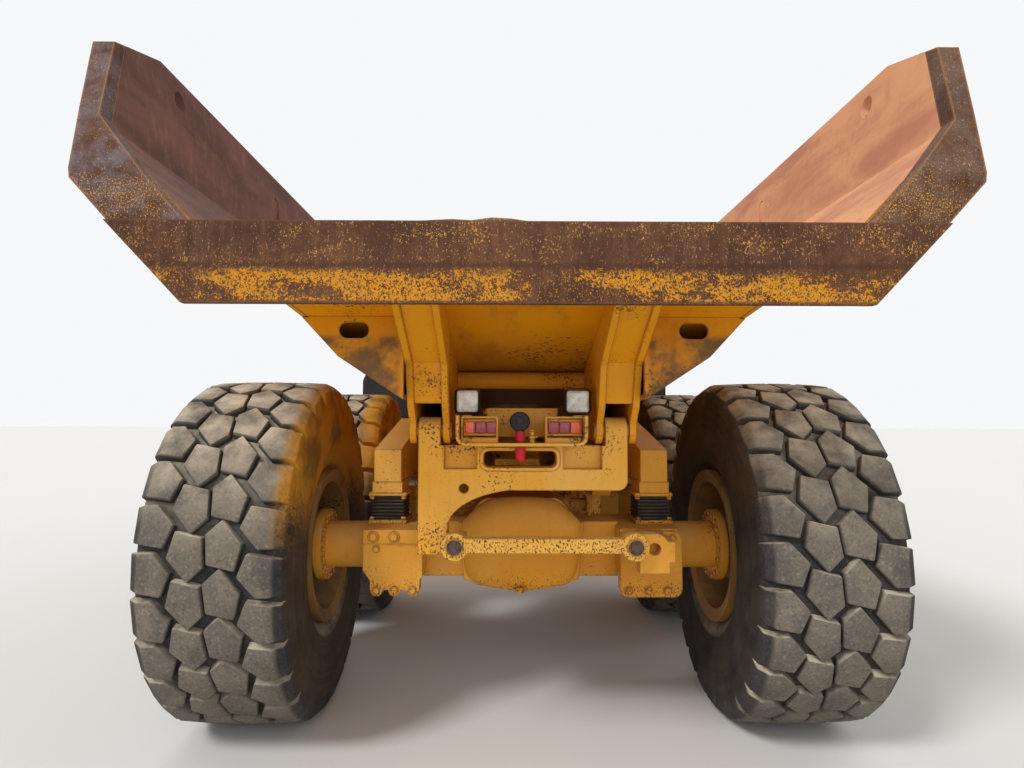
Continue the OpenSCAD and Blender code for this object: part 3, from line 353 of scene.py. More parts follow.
def bed_plate(name, paint, faded, seed, scour_in_shade, scour_in_sun, across=0):
    """Wear plate: paint outside and below, scoured steel inside. across is 1 for the bed's front plate."""
    made, tree, shader = material(name)
    place = here(tree)
    xyz = parts(place)
    facing = parts(normal(tree))
    # Inside faces look up, or towards the middle of the bed.
    inward = times(facing["X"], calc("SIGN", xyz["X"]), -1)
    inside = ramp(most(facing["Z"], inward), 0.25, 0.5)
    inside = times(inside, ramp(xyz["Z"], 1.44, 1.465))
    # The walls' holes are bare all through.
    flat_on = ramp(unsigned(facing["X"]), 0.5, 0.4)
    high = times(ramp(xyz["Z"], HOLES_FROM - 0.01, HOLES_FROM), ramp(unsigned(xyz["X"]), 1.28, 1.3))
    inside = most(inside, times(flat_on, high))
    # The front plate lies across the bed, so what faces back is its inside.
    inside = most(inside, times(ramp(facing["Y"], -0.3, -0.6), across))
    film = mixed(ramp(grain(place, 1.7, 5, 0.6, 0.4), 0.35, 0.7), paint, faded)
    bare = (98, 60, 34)
    stain = ramp(grain(here(tree, stretch=(3, 1.2, 1)), 2.2, 6, 0.68), 0.52, 0.72)
    film = mixed(times(stain, 0.34), film, bare)
    # Soot and grease lie on the channel's end plates, and leave a clean strip of paint above.
    behind = ramp(facing["Y"], -0.6, -0.8)
    plate_top = times(ramp(xyz["Z"], 1.715, 1.68), ramp(xyz["Z"], 1.35, 1.47))
    beside = ramp(unsigned(xyz["X"]), 0.47, 0.5)
    cloud = ramp(grain(place, 5, 6, 0.7), 0.34, 0.58)
    soot = times(behind, plate_top, beside, cloud)
    film = mixed(times(soot, 0.85), film, (84, 70, 52))
    # Further in, the underside is darkened to black brown as painted shade.
    deep_under_shade = times(ramp(facing["Z"], -0.3, -0.6), ramp(xyz["Y"], -3.85, -3.5))
    deep_under_shade = times(deep_under_shade, ramp(unsigned(xyz["X"]), 0.5, 0.42))
    film = mixed(times(deep_under_shade, 0.85), film, (48, 34, 22))
    rust = use(tree, "rust", Scale=2.2, Warmth=0.55)
    flake = use(tree, "flakes", Scale=60, Amount=0.29, Patch=1.8, Offset=seed)["Mask"]
    edge = use(tree, "edge_wear", Radius=0.009, Amount=0.6, Scale=40)["Mask"]
    lost = most(flake, edge)
    outside = mixed(lost, film, mixed(0.5, rust["Color"], (120, 84, 50)))
    # Loads slide towards the tail and leave long soft streaks and a few brighter scuffs.
    # From left to right the scoured colours go from painted shade on the left wall to painted sunlight on the
    # right wall.
    side = ramp(xyz["X"], -0.4, 0.4)
    slides = grain(here(tree, stretch=(1, 0.25, 1)), 6, 6, 0.62, 0.4)
    scuffs = grain(here(tree, stretch=(1, 0.5, 0.2)), 44, 4, 0.65)
    scour_by_light = mixed(side, scour_in_shade, scour_in_sun)
    dull_by_light = mixed(side, (96, 68, 60), (206, 138, 106))
    scoured = mixed(ramp(slides, 0.36, 0.62), dull_by_light, scour_by_light)
    scoured = mixed(times(ramp(scuffs, 0.5, 0.72), 0.3), scoured, (176, 128, 104))
    scoured = mixed(0.16, scoured, rust["Color"])
    skin = mixed(inside, outside, scoured)
    rough = ramp(most(inside, lost), 0, 1, 0.42, 0.8)
    relief = plus(times(rust["Height"], inside, 0.5), times(lost, -0.5))
    wire(shader, Base_Color=skin, Roughness=rough, Specular_IOR_Level=0.22, Normal=bump(relief, 0.003, 0.6))
    return made


# The last two colours of each plate are its scoured inside in painted shade on the left and in painted
# sunlight on the right.
gold_plate = bed_plate("bed_gold", (226, 148, 4), (214, 138, 12), 7, (132, 92, 72), (150, 104, 80))
wall_plate = bed_plate("bed_wall_paint", (212, 146, 30), (196, 134, 44), 11, (126, 88, 76), (238, 172, 124))
dress(gold_plate, "bed_floor")
rail_gold = steel("rail_gold", (226, 148, 4), (222, 150, 20), (104, 66, 34), chips=0.3, worn=0.6, dust=0.3,
                  seed=13)
dress(rail_gold, "bed_rails")
front_plate = bed_plate("bed_front_paint", (212, 146, 30), (196, 134, 44), 17, (140, 96, 76), (168, 116, 90),
                        across=1)
dress(wall_plate, "bed_wall_left", "bed_wall_right")
dress(front_plate, "bed_front")


def only(piece):
    bpy.ops.object.select_all(action="DESELECT")
    piece.select_set(True)
    bpy.context.view_layer.objects.active = piece


def edit(piece):
    """Opens a piece for editing, with all of it selected."""
    only(piece)
    bpy.ops.object.mode_set(mode="EDIT")
    bpy.ops.mesh.select_all(action="SELECT")


def leave():
    bpy.ops.object.mode_set(mode="OBJECT")


def slab(name, low, high, radius=0.004, segments=2):
    """A block between two corners with its edges rounded."""
    bpy.ops.object.select_all(action="DESELECT")
    low, high = Vector(low), Vector(high)
    bpy.ops.mesh.primitive_cube_add(size=1, location=(low + high) / 2, scale=high - low)
    piece = bpy.context.object
    piece.name = name
    bpy.ops.object.transform_apply(location=True, rotation=True, scale=True)
    edit(piece)
    bpy.ops.mesh.bevel(offset=radius, segments=segments, affect="EDGES")
    leave()
    return piece


def join(first, *others):
    bpy.ops.object.select_all(action="DESELECT")
    for piece in (first, *others):
        piece.select_set(True)
    bpy.context.view_layer.objects.active = first
    bpy.ops.object.join()
    return first


def smooth(piece, angle=35):
    only(piece)
    bpy.ops.object.shade_smooth_by_angle(angle=math.radians(angle))


def settle(piece, finish, body, replaced=(), angle=35):
    """The piece's last steps: its place goes into its mesh, then its finish, body and slot."""
    only(piece)
    bpy.ops.object.transform_apply(location=True, rotation=True, scale=True)
    piece.data.materials.clear()
    piece.data.materials.append(finish)
    if angle:
        smooth(piece, angle)
    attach(piece, body)
    if replaced:
        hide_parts(*replaced)
    return piece


PAD_INNER, PAD_OUTER = 1.374, 1.396
pads = []
for way in (-1, 1):
    inner, outer = sorted((way * PAD_INNER, way * PAD_OUTER))
    pads.append(slab("doubler", (inner, -3.185, 2.375), (outer, -3.045, 2.605), 0.004))
settle(join(*pads), wall_plate, "bed").name = "slot_doublers"

# Sill and posts at the bed's mouth: thick plate welded across the tail, rusted dark brown. The sill's lower
# strip keeps peppered paint under its weld line, the upper one crumbs of it, and the posts are scuffed to a
# blue grey.
tail_steel, tree, shader = material("tail_rust")
place = here(tree)
xyz = parts(place)
rust = use(tree, "rust", Scale=3.2, Warmth=0.75)
sill_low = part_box("bed_tail")[0]
WELD_Z = sill_low.z + 0.102
SILL_TOP = sill_low.z + 0.248
streaks = ramp(grain(here(tree, stretch=(1, 1, 0.14)), 46, 4, 0.7), 0.44, 0.7)
brown = mixed(0.6, rust["Color"], (64, 37, 21))
brown = mixed(times(streaks, 0.22), brown, (132, 92, 62))
post = ramp(xyz["Z"], SILL_TOP - 0.004, SILL_TOP + 0.01)
left = ramp(xyz["X"], 0.2, -0.2)
scuffed = mixed(left, (104, 84, 70), (110, 98, 100))
mottle = ramp(grain(place, 9, 6, 0.7, 0.3), 0.36, 0.62)
brown = mixed(times(post, mottle, 0.75), brown, scuffed)
wide = grain(here(tree, stretch=(1, 1, 2.2)), 3.1, 4, 0.6, 0.6)
crumbs = grain(here(tree, stretch=(1, 1, 0.8)), 205, 3.5, 0.68)
chunks = grain(here(tree, stretch=(0.6, 1, 1.2)), 17, 7, 0.74, 0.4)
behind = ramp(parts(normal(tree))["Y"], -0.1, -0.4)
ragged = plus(xyz["Z"], times(minus(chunks, 0.5), 0.16))
lip = ramp(xyz["Z"], sill_low.z + 0.002, sill_low.z + 0.012)
strip = times(ramp(ragged, WELD_Z + 0.006, WELD_Z - 0.018), lip, behind)
# How much paint is left: the crumbs that stand above this limit.
kept = plus(times(wide, 0.48), times(chunks, 0.52))
low_limit = ramp(kept, 0.43, 0.55, 0.6, 0.43)
low_paint = times(ramp(minus(crumbs, low_limit), 0, 0.03), strip)
field = times(ramp(kept, 0.44, 0.6), minus(1, times(post, 0.4)))
foot = times(post, ramp(xyz["Z"], SILL_TOP + 0.26, SILL_TOP + 0.02, 0, 0.085))
high_limit = minus(minus(0.67, times(field, 0.115)), foot)
high_paint = ramp(minus(crumbs, high_limit), 0, 0.03)
pale = ramp(grain(here(tree, stretch=(1.1, 1, 0.45)), 175, 2, 0.6), 0.63, 0.67)
brown = mixed(times(pale, mottle, 0.6), brown, (186, 154, 122))
old_gold = mixed(ramp(chunks, 0.4, 0.6), (204, 132, 10), (190, 130, 38))
old_gold = mixed(ramp(xyz["Z"], WELD_Z, WELD_Z + 0.03), old_gold, (196, 142, 70))
edge = use(tree, "edge_wear", Radius=0.012, Amount=0.8, Scale=30)["Mask"]
skin = mixed(most(low_paint, times(high_paint, 0.9)), brown, old_gold)
# A thin dark brown line along the weld's crease is painted shade.
weld_crease_shade = times(ramp(unsigned(minus(xyz["Z"], WELD_Z + 0.012)), 0.014, 0.002), behind)
skin = mixed(times(weld_crease_shade, 0.55), skin, (62, 38, 26))
skin = mixed(times(edge, 0.75), skin, mixed(post, (104, 72, 50), (178, 122, 66)))
relief = plus(times(crumbs, 0.7), times(low_paint, 0.3), times(rust["Height"], 0.6))
wire(shader, Base_Color=skin, Roughness=0.78, Specular_IOR_Level=0.22, Normal=bump(relief, 0.004, 0.7))
dress(tail_steel, "bed_tail")
# A flake of the sill's lip stands up where rocks have peeled it.
FLAKE_LEFT, FLAKE_RIGHT = -0.352, 0.004
flake = slab("lip_flake", (FLAKE_LEFT, sill_low.y + 0.006, SILL_TOP - 0.004),
             (FLAKE_RIGHT, sill_low.y + 0.05, SILL_TOP + 0.007), 0.002, 1)
edit(flake)
bpy.ops.mesh.subdivide(number_cuts=5)
leave()
for corner in flake.data.vertices:
    if corner.co.z > SILL_TOP:
        rise = noise.noise(Vector((corner.co.x * 26, 0.3, 0.7))) * 0.009
        taper = min(1, (corner.co.x - FLAKE_LEFT) / 0.08, (FLAKE_RIGHT - corner.co.x) / 0.05)
        corner.co.z = SILL_TOP + 0.001 + (corner.co.z - SILL_TOP + rise) * max(0, taper)
    corner.co.y += noise.noise(Vector((corner.co.x * 22, 1.3, 2.7))) * 0.006
settle(flake, tail_steel, "bed", angle=None)


# Tyres: radial earthmover tyres, moulded with four rows of blocks and worn, grey with yard dust. Those on
# the left carry yellow overspray from the painting of the frame.
def outline(name, points):
    """A flat face through the points."""
    bpy.ops.object.select_all(action="DESELECT")
    bpy.ops.mesh.primitive_circle_add(vertices=len(points), radius=1, fill_type="NGON")
    piece = bpy.context.object
    piece.name = name
    for corner, point in zip(piece.data.vertices, points):
        corner.co = point
    return piece


def face_outwards():
    bpy.ops.mesh.select_all(action="SELECT")
    bpy.ops.mesh.normals_make_consistent(inside=False)


ACROSS, ALONG, UPRIGHT = (1, 0, 0), (0, 1, 0), (0, 0, 1)


def lathe(name, profile, steps, axis=ACROSS):
    """A ring or a solid turned from a profile of places along the axis and radii."""
    bpy.ops.object.select_all(action="DESELECT")
    bpy.ops.mesh.primitive_circle_add(vertices=len(profile), radius=1, fill_type="NOTHING")
    piece = bpy.context.object
    piece.name = name
    sideways = Vector(ACROSS if axis == UPRIGHT else UPRIGHT)
    for corner, (along, radius) in zip(piece.data.vertices, profile):
        corner.co = Vector(axis) * along + sideways * radius
    edit(piece)
    bpy.ops.mesh.spin(steps=steps, angle=2 * math.pi, center=(0, 0, 0), axis=axis)
    bpy.ops.mesh.select_all(action="SELECT")
    bpy.ops.mesh.remove_doubles(threshold=0.0002)
    bpy.ops.mesh.dissolve_degenerate(threshold=0.0001)
    face_outwards()
    leave()
    return piece


def copies(piece, places):
    """Makes the piece one mesh of copies of itself, one at each matrix."""
    joined = bmesh.new()
    for place in places:
        part = piece.data.copy()
        part.transform(place)
        joined.from_mesh(part)
        bpy.data.meshes.remove(part)
    joined.to_mesh(piece.data)
    joined.free()
    return piece


TYRE_R = 0.776
TREAD = 0.034
PITCHES = 27
SHOULDER, SHOULDER_BEND = 0.243, 0.262
LUGS_FROM, LUG_REACH = 0.27, 0.055
# Blocks of one pitch on one half, across and around from the tread's middle. The other half has them turned
# round.
MIDDLE_BLOCK = [(0.058, 0.116), (0.137, 0.026), (0.114, -0.074), (0.012, -0.05), (0, 0.06)]
EDGE_BLOCK = [(0.156, -0.01), (0.281, -0.03), (0.284, -0.172), (0.194, -0.174), (0.124, -0.096)]


def crown(across):
    """How far the worn tread lies below the tyre's radius, at a place across it."""
    beyond = max(0, abs(across) - SHOULDER)
    return 0.007 * (across / 0.24) ** 2 + beyond * 0.75


def block(name, points, side):
    """One tread block: pulled down to the groove, rounded, cut at the shoulder and bent round the tyre."""
    piece = outline(name, [(side * x, side * y, 0) for x, y in points])
    edit(piece)
    bpy.ops.mesh.extrude_region_move(TRANSFORM_OT_translate={"value": (0, 0, -TREAD - 0.012)})
    centre = [side * sum(places) / len(points) for places in zip(*points)]
    bpy.ops.transform.resize(value=(1.07, 1.07, 1), center_override=(*centre, 0))
    face_outwards()
    shape = bmesh.from_edit_mesh(piece.data)
    for edge in shape.edges:
        heights = [corner.co.z for corner in edge.verts]
        edge.select = min(heights) > -0.001 or max(heights) - min(heights) > 0.02
    bmesh.update_edit_mesh(piece.data)
    bpy.ops.mesh.bevel(offset=0.0055, segments=2, affect="EDGES")
    for cut in (SHOULDER, SHOULDER_BEND):
        bpy.ops.mesh.select_all(action="SELECT")
        bpy.ops.mesh.bisect(plane_co=(side * cut, 0, 0), plane_no=ACROSS)
    leave()
    for corner in piece.data.vertices:
        x, y, z = corner.co
        # The shoulder's outer ends reach down the sidewall as lugs.
        if abs(x) > LUGS_FROM and z < -TREAD / 2:
            z -= LUG_REACH
        radius = TYRE_R - 0.001 - crown(x) + z
        turned = y / TYRE_R
        corner.co = (x, -radius * math.cos(turned), radius * math.sin(turned))
    return piece


CARCASS_HALF = [(0.2475, 0.3186), (0.2455, 0.35), (0.252, 0.372), (0.268, 0.392), (0.281, 0.416),
                (0.286, 0.43), (0.283, 0.44), (0.2885, 0.48), (0.2935, 0.54), (0.2945, 0.585),
                (0.2915, 0.592), (0.2925, 0.64), (0.289, 0.668), (0.283, 0.69), (0.272, 0.716),
                (0.236, 0.731), (0.12, 0.739), (0, 0.741)]
carcass = lathe("carcass", [(-x, r) for x, r in CARCASS_HALF] + CARCASS_HALF[-2::-1], 120)
kinds = [(MIDDLE_BLOCK, 1), (EDGE_BLOCK, 1), (MIDDLE_BLOCK, -1), (EDGE_BLOCK, -1)]
tread = join(*[block(f"lug_{i}", points, side) for i, (points, side) in enumerate(kinds)])
copies(tread, [Matrix.Rotation(2 * math.pi * i / PITCHES, 4, "X") for i in range(PITCHES)])
tyre_master = join(tread, carcass)
smooth(tyre_master, 40)


def tyre_rubber(name, centre, overspray_and_sun, sprayed_from, wall_grease_and_shade):
    """Rubber: dusty blocks, dark grooves, greasy sidewalls and old yellow overspray high on the inside."""
    made, tree, shader = material(name)
    place = here(tree, centre)
    xyz = parts(place)
    around = put(tree, "ShaderNodeCombineXYZ", {1: xyz["Y"], 2: xyz["Z"]}).outputs[0]
    radius = put(tree, "ShaderNodeVectorMath", {0: around}, operation="LENGTH").outputs["Value"]
    across = unsigned(xyz["X"])
    top = times(ramp(radius, 0.752, 0.768), ramp(across, 0.282, 0.255))
    fine = grain(place, 85, 6, 0.72)
    broad = grain(place, 5, 4, 0.6)
    dark = mixed(ramp(fine, 0.4, 0.7), (38, 38, 41), (62, 58, 56))
    tone = mixed(ramp(broad, 0.35, 0.65), (86, 81, 75), (108, 100, 88))
    tone = mixed(times(ramp(fine, 0.53, 0.62), 0.6), tone, (66, 62, 60))
    tone = mixed(times(ramp(fine, 0.44, 0.38), 0.28), tone, (172, 160, 142))
    skin = mixed(top, dark, tone)
    wall = ramp(radius, 0.72, 0.67)
    rings = grain(put(tree, "ShaderNodeCombineXYZ", {0: radius, 1: across}).outputs[0], 60, 4, 0.7)
    toward = times(xyz["X"], -1 if centre[0] > 0 else 1)
    inner = ramp(toward, 0.1, 0.24)
    # The walls' tone is grease, and on the right painted shade as well.
    grease = mixed(ramp(rings, 0.35, 0.65), wall_grease_and_shade, [min(1, c * 1.9) for c in wall_grease_and_shade[:3]] + [1])
    brown = mixed(ramp(rings, 0.35, 0.65), (52, 46, 41), (84, 72, 60))
    skin = mixed(wall, skin, mixed(inner, brown, grease))
    # The paint was sprayed with the wheels standing, so it covers what faced up.
    height = ramp(plus(xyz["Z"], times(broad, 0.5)), 0.05, 0.85)
    cover = ramp(plus(height, times(minus(fine, 0.5), 0.9)), 0.28, 0.72)
    yellow = mixed(ramp(broad, 0.4, 0.62), (196, 136, 24), (132, 94, 36))
    shoulder = ramp(plus(toward, times(fine, 0.06)), sprayed_from, sprayed_from + 0.065)
    # Where the amount is raised, this yellow is painted sunlight as well as overspray.
    cover = times(cover, shoulder, overspray_and_sun)
    skin = mixed(cover, skin, yellow)
    powder = dust_on(tree, 0.95, 7)
    lying = times(powder, minus(1, times(cover, 0.8)))
    skin = mixed(lying, skin, (206, 192, 168))
    relief = plus(times(fine, 0.7), times(rings, wall, 0.5))
    wire(shader, Base_Color=skin, Roughness=0.88, Specular_IOR_Level=0.25, Normal=bump(relief, 0.004, 0.65))
    return made


# How much overspray each tyre has, and how far from its middle it starts.
# On the middle left tyre the cover is raised to paint sunlight on its shoulder as well as overspray.
OVERSPRAY_AND_SUN = {"rear_left": (0.86, 0.24), "middle_left": (1, 0.15), "front_left": (0.3, 0.24),
             "rear_right": (0.06, 0.24), "middle_right": (0.05, 0.24), "front_right": (0.2, 0.24)}
# How many degrees each side's tyres have rolled on, and the tone of their greasy walls.
ROLLED = {"left": 5, "right": 2}
# The right tyres' walls are darker with painted shade.
WALL_GREASE_AND_SHADE = {"left": (46, 35, 25), "right": (26, 22, 19)}
WHEELS = [(axle, side) for axle in ("rear", "middle", "front") for side in ("left", "right")]
for axle, side in WHEELS:
    centre = middle(f"tyre_{axle}_{side}")
    tyre = tyre_master.copy()
    tyre.data = tyre_master.data.copy()
    bpy.context.scene.collection.objects.link(tyre)
    tyre.name = f"tread_{axle}_{side}"
    turned = Matrix.Rotation(math.radians(ROLLED[side]), 4, "X")
    tyre.data.transform(Matrix.Translation(centre) @ turned)
    grease_and_shade = colour(*WALL_GREASE_AND_SHADE[side])
    rubber = tyre_rubber(f"rubber_{axle}_{side}", centre, *OVERSPRAY_AND_SUN[f"{axle}_{side}"], grease_and_shade)
    settle(tyre, rubber, f"wheel_{axle}_{side}", [f"tyre_{axle}_{side}"], angle=None)
bpy.data.objects.remove(tyre_master)


# Wheels: pressed steel discs bolted to planetary hubs by a ring of studs, with a turned cover on each hub.
# Their yellow paint is brown with grease and yard dirt.
def bolts(name, places, facing, radius, height=None):
    """Hexagon heads on washers at the places, all facing one way."""
    height = height or radius * 0.75
    washer_top = radius * 0.2
    bpy.ops.object.select_all(action="DESELECT")
    bpy.ops.mesh.primitive_cylinder_add(vertices=6, radius=radius, depth=height,
                                        location=(0, 0, washer_top + height / 2))
    head = bpy.context.object
    head.name = name
    bpy.ops.object.transform_apply(location=True, rotation=True, scale=True)
    edit(head)
    bpy.ops.mesh.bevel(offset=radius * 0.14, segments=1, affect="EDGES")
    leave()
    wide = radius * 1.3
    washer = lathe("washer", [(-0.004, 0), (-0.004, wide), (washer_top, wide), (washer_top, 0)], 12, UPRIGHT)
    head = join(head, washer)
    swing = Vector(UPRIGHT).rotation_difference(Vector(facing)).to_matrix().to_4x4()
    return copies(head, [Matrix.Translation(p) @ swing for p in places])


def ring(centre, radius, count):
    """Places round a circle about an axle."""
    angles = [2 * math.pi * i / count for i in range(count)]
    return [(centre[0], centre[1] + radius * math.cos(a), centre[2] + radius * math.sin(a)) for a in angles]


def move(piece, place, turned=0):
    """Moves a piece's mesh, turned first about the upright axis."""
    piece.data.transform(Matrix.Translation(place) @ Matrix.Rotation(turned, 4, "Z"))


NUT_CIRCLE, COVER_CIRCLE = 0.243, 0.122
NUT_FACE, COVER_FACE, PLUG_FACE = 0.142, 0.25, 0.249
PLUG = [(0, 0), (0, 0.052), (0.01, 0.05), (0.014, 0.044), (0.014, 0.018), (0.024, 0.016), (0.026, 0)]
rim_paint = steel("rim_yellow", (150, 108, 50), (112, 78, 42), (62, 42, 28), chips=0.34, worn=0.4, dust=0.5,
                  gloss=0.6, seed=5)
stud_steel = steel("stud_steel", (120, 92, 52), (98, 74, 48), (70, 48, 34), chips=0.45, dust=0.5, seed=9)
for axle, side in WHEELS:
    way = -1 if side == "left" else 1
    wheel = f"{axle}_{side}"
    hub = middle(f"tyre_{wheel}")
    dress(rim_paint, f"rim_{wheel}")
    outwards = (way, 0, 0)
    nut_ring = ring((hub.x + way * NUT_FACE, hub.y, hub.z), NUT_CIRCLE, 20)
    cover_ring = ring((hub.x + way * COVER_FACE, hub.y, hub.z), COVER_CIRCLE, 12)
    studs = bolts(f"wheel_nuts_{wheel}", nut_ring, outwards, 0.017, 0.026)
    cover = bolts("cover_bolts", cover_ring, outwards, 0.01)
    plug = lathe("plug", PLUG, 24)
    move(plug, (hub.x + way * PLUG_FACE, hub.y, hub.z), 0 if way > 0 else math.pi)
    settle(join(studs, cover, plug), stud_steel, f"wheel_{wheel}")

# Axle flanges: cast rings that close each hub towards the middle of the truck, held to the axle's beam by a
# circle of bolts.
FLANGE_FACE, FLANGE_CIRCLE = 0.27, 0.147
FLANGES = [("hub_bolts", "rear_frame", ("rear", "middle")), ("front_hub_bolts", "front_frame", ("front",))]
for name, body, axles in FLANGES:
    rings = []
    for axle in axles:
        for side, way in (("left", -1), ("right", 1)):
            hub = middle(f"tyre_{axle}_{side}")
            places = ring((hub.x - way * FLANGE_FACE, hub.y, hub.z), FLANGE_CIRCLE, 20)
            rings.append(bolts(f"{name}_{axle}_{side}", places, (-way, 0, 0), 0.0105))
    settle(join(*rings), axle_paint, body)


# Beam mounts: sandwiches of rubber ribs between steel plates, bolted at their corners between the walking
# beams and the axles.
def plain(name, base, second, rough=0.6, scale=8, depth=0.0008, **shine):
    """A finish of two close tones in clouds, with a fine grain."""
    made, tree, shader = material(name)
    place = here(tree)
    clouds = ramp(grain(place, scale, 6, 0.65, 0.3), 0.38, 0.64)
    fine = grain(place, scale * 30, 3, 0.6)
    powder = dust_on(tree, 0.45, scale)
    skin = mixed(powder, mixed(clouds, base, second), (168, 148, 118))
    wire(shader, Base_Color=skin, Roughness=ramp(clouds, 0, 1, rough, min(1, rough + 0.15)),
         Specular_IOR_Level=0.3, Normal=bump(fine, depth, 0.5), **shine)
    return made


black_rubber = plain("stack_rubber", (24, 21, 21), (40, 35, 33), rough=0.55)
RIBS = 7
LOW_PLATE, HIGH_PLATE = 0.017, 0.016
# How far out a mount stands, half its plates' sides, and how far from their edges the bolts are.
MOUNT_X, HALF_X, HALF_Y, FROM_EDGE = 0.625, 0.088, 0.1, 0.014
stack_low, stack_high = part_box("rubber_mounts")
ribs_from, ribs_to = stack_low.z + LOW_PLATE, stack_high.z - HIGH_PLATE
step = (ribs_to - ribs_from) / RIBS


def layer(name, x, y, inset, bottom, top, radius, segments=2):
    """One level of a mount, drawn in by inset from the plates' edges."""
    half_x, half_y = HALF_X - inset, HALF_Y - inset
    return slab(name, (x - half_x, y - half_y, bottom), (x + half_x, y + half_y, top), radius, segments)


plates, rubbers = [], []
for axle in ("rear", "middle"):
    y = middle(f"tyre_{axle}_left").y
    for x in (-MOUNT_X, MOUNT_X):
        plates.append(layer("plate", x, y, 0, stack_low.z, ribs_from, 0.003))
        plates.append(layer("plate", x, y, 0, ribs_to, stack_high.z, 0.003))
        for i in range(RIBS):
            z = ribs_from + i * step
            rubbers.append(layer("rib", x, y, 0.01, z, z + step - 0.003, 0.0055, 3))
        rubbers.append(layer("core", x, y, 0.018, ribs_from - 0.001, ribs_to + 0.001, 0.002, 1))
        corners = [(x + i * (HALF_X - FROM_EDGE), y + j * (HALF_Y - FROM_EDGE))
                   for i in (-1, 1) for j in (-1, 1)]
        for z, up_or_down in ((ribs_from, 1), (ribs_to, -1)):
            plates.append(bolts("mount_bolts", [(*c, z) for c in corners], (0, 0, up_or_down), 0.012, 0.012))
stacks = settle(join(*rubbers), black_rubber, "rear_frame")
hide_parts("rubber_mounts")
settle(join(*plates), frame_paint, "rear_frame")
stacks.name = "rubber_stacks"

# Axle clamps: cast caps that hold the axles' housings, bolted through their lobes and corners. The left one
# has a flat plate, and the drain and filler plugs sit in between.
CLAMP_FACE = 0.25
BACKWARDS = (0, -1, 0)
clamp_bolts, clamp_plates = [], []
for axle in ("rear", "middle"):
    hub = middle(f"tyre_{axle}_left")
    y, z = hub.y - CLAMP_FACE, hub.z
    low_left = [(x, y, z - 0.158) for x in (-0.643, -0.563, -0.483)]
    low_right = [(x, y, z - 0.16) for x in (0.477, 0.565, 0.65)] + [(0.672, y, z + 0.07)]
    on_plate = [(x, y - 0.012, z + 0.078) for x in (-0.657, -0.566)]
    clamp_plates.append(slab("left_plate", (-0.705, y - 0.012, z + 0.046), (-0.446, y + 0.004, z + 0.109)))
    for name, places, facing, radius, height in [
            ("clamp_bolts", low_left + low_right, BACKWARDS, 0.016, 0.014),
            ("plate_bolts", on_plate, BACKWARDS, 0.019, 0.012),
            ("middle_bolt", [(-0.646, y, z + 0.022)], BACKWARDS, 0.014, 0.01),
            ("drain", [(-0.003, y + 0.02, z - 0.153)], (0, 0, -1), 0.02, 0.016),
            ("filler", [(0.09, y + 0.06, z - 0.055)], BACKWARDS, 0.018, 0.014)]:
        clamp_bolts.append(bolts(name, places, facing, radius, height))
settle(join(*clamp_bolts, *clamp_plates), axle_paint, "rear_frame")


# Axle covers: cast iron covers bolted over the drive gears, round and smooth, standing out behind each
# housing. Between the frame's rails a plate in the frame's paint carries the lamps.
def subdivided(piece, levels):
    only(piece)
    rounder = piece.modifiers.new("rounder", "SUBSURF")
    rounder.levels = levels
    rounder.render_levels = levels
    bpy.ops.object.modifier_apply(modifier=rounder.name)


COVER_HALF = [(0, 0.252), (0.1, 0.249), (0.158, 0.236), (0.205, 0.203), (0.25, 0.157), (0.286, 0.127),
              (0.266, 0), (0.256, -0.12), (0.18, -0.151), (0.1, -0.17), (0, -0.178)]
covers = []
for axle in ("rear", "middle"):
    hub = middle(f"tyre_{axle}_left")
    edge_points = COVER_HALF + [(-x, z) for x, z in COVER_HALF[-2:0:-1]]
    cover = outline("axle_cover", [(x, hub.y - 0.186, hub.z + z) for x, z in edge_points])
    edit(cover)
    # Ring by ring the face is pushed out and drawn in, to a flat dome.
    for push, shrink in ((0.012, 0.995), (0.02, 0.94), (0.016, 0.86), (0.012, 0.7), (0.005, 0.5)):
        bpy.ops.mesh.extrude_region_move(TRANSFORM_OT_translate={"value": (0, -push, 0)})
        bpy.ops.transform.resize(value=(shrink, 1, shrink), center_override=(0, hub.y, hub.z + 0.03))
    face_outwards()
    leave()
    subdivided(cover, 2)
    covers.append(cover)
settle(join(*covers), axle_paint, "rear_frame", angle=50).name = "axle_covers"
PLATE_LOW, PLATE_HIGH = (-0.155, -3.992, 1.3), (0.15, -3.978, 1.424)
cross_plate = slab("lamp_plate", PLATE_LOW, PLATE_HIGH)
settle(cross_plate, frame_paint, "rear_frame")

# Cross rod: a steel bar between two eyes, each on a pin driven through its bracket. The pins' ends show in
# the eyes, bare steel gone brown.
PIN_END = [(0, 0), (0, 0.02), (0.003, 0.022), (0.003, 0.028), (0.008, 0.0325), (0.016, 0.0325), (0.016, 0)]
pin_steel = plain("pin_steel", (92, 74, 66), (58, 42, 38), rough=0.5, scale=30, Metallic=0.3)
rod_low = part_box("cross_rod")[0]
PINS_X, PINS_Z = (-0.275, 0.448), 0.868
pins = []
for x in PINS_X:
    cap = lathe("pin_cap", PIN_END, 28, ALONG)
    move(cap, (x, rod_low.y - 0.018, PINS_Z))
    pins.append(cap)
settle(join(*pins), pin_steel, "rear_frame", angle=30).name = "cross_rod_pins"


# Tail lamps: moulded plastic lenses of three cells each, amber outboard and red inboard, set in the guard's
# golden frames.
def waves(where, scale, direction):
    fill = {"Vector": where, "Scale": scale}
    return put(where.id_data, "ShaderNodeTexWave", fill, bands_direction=direction).outputs["Fac"]


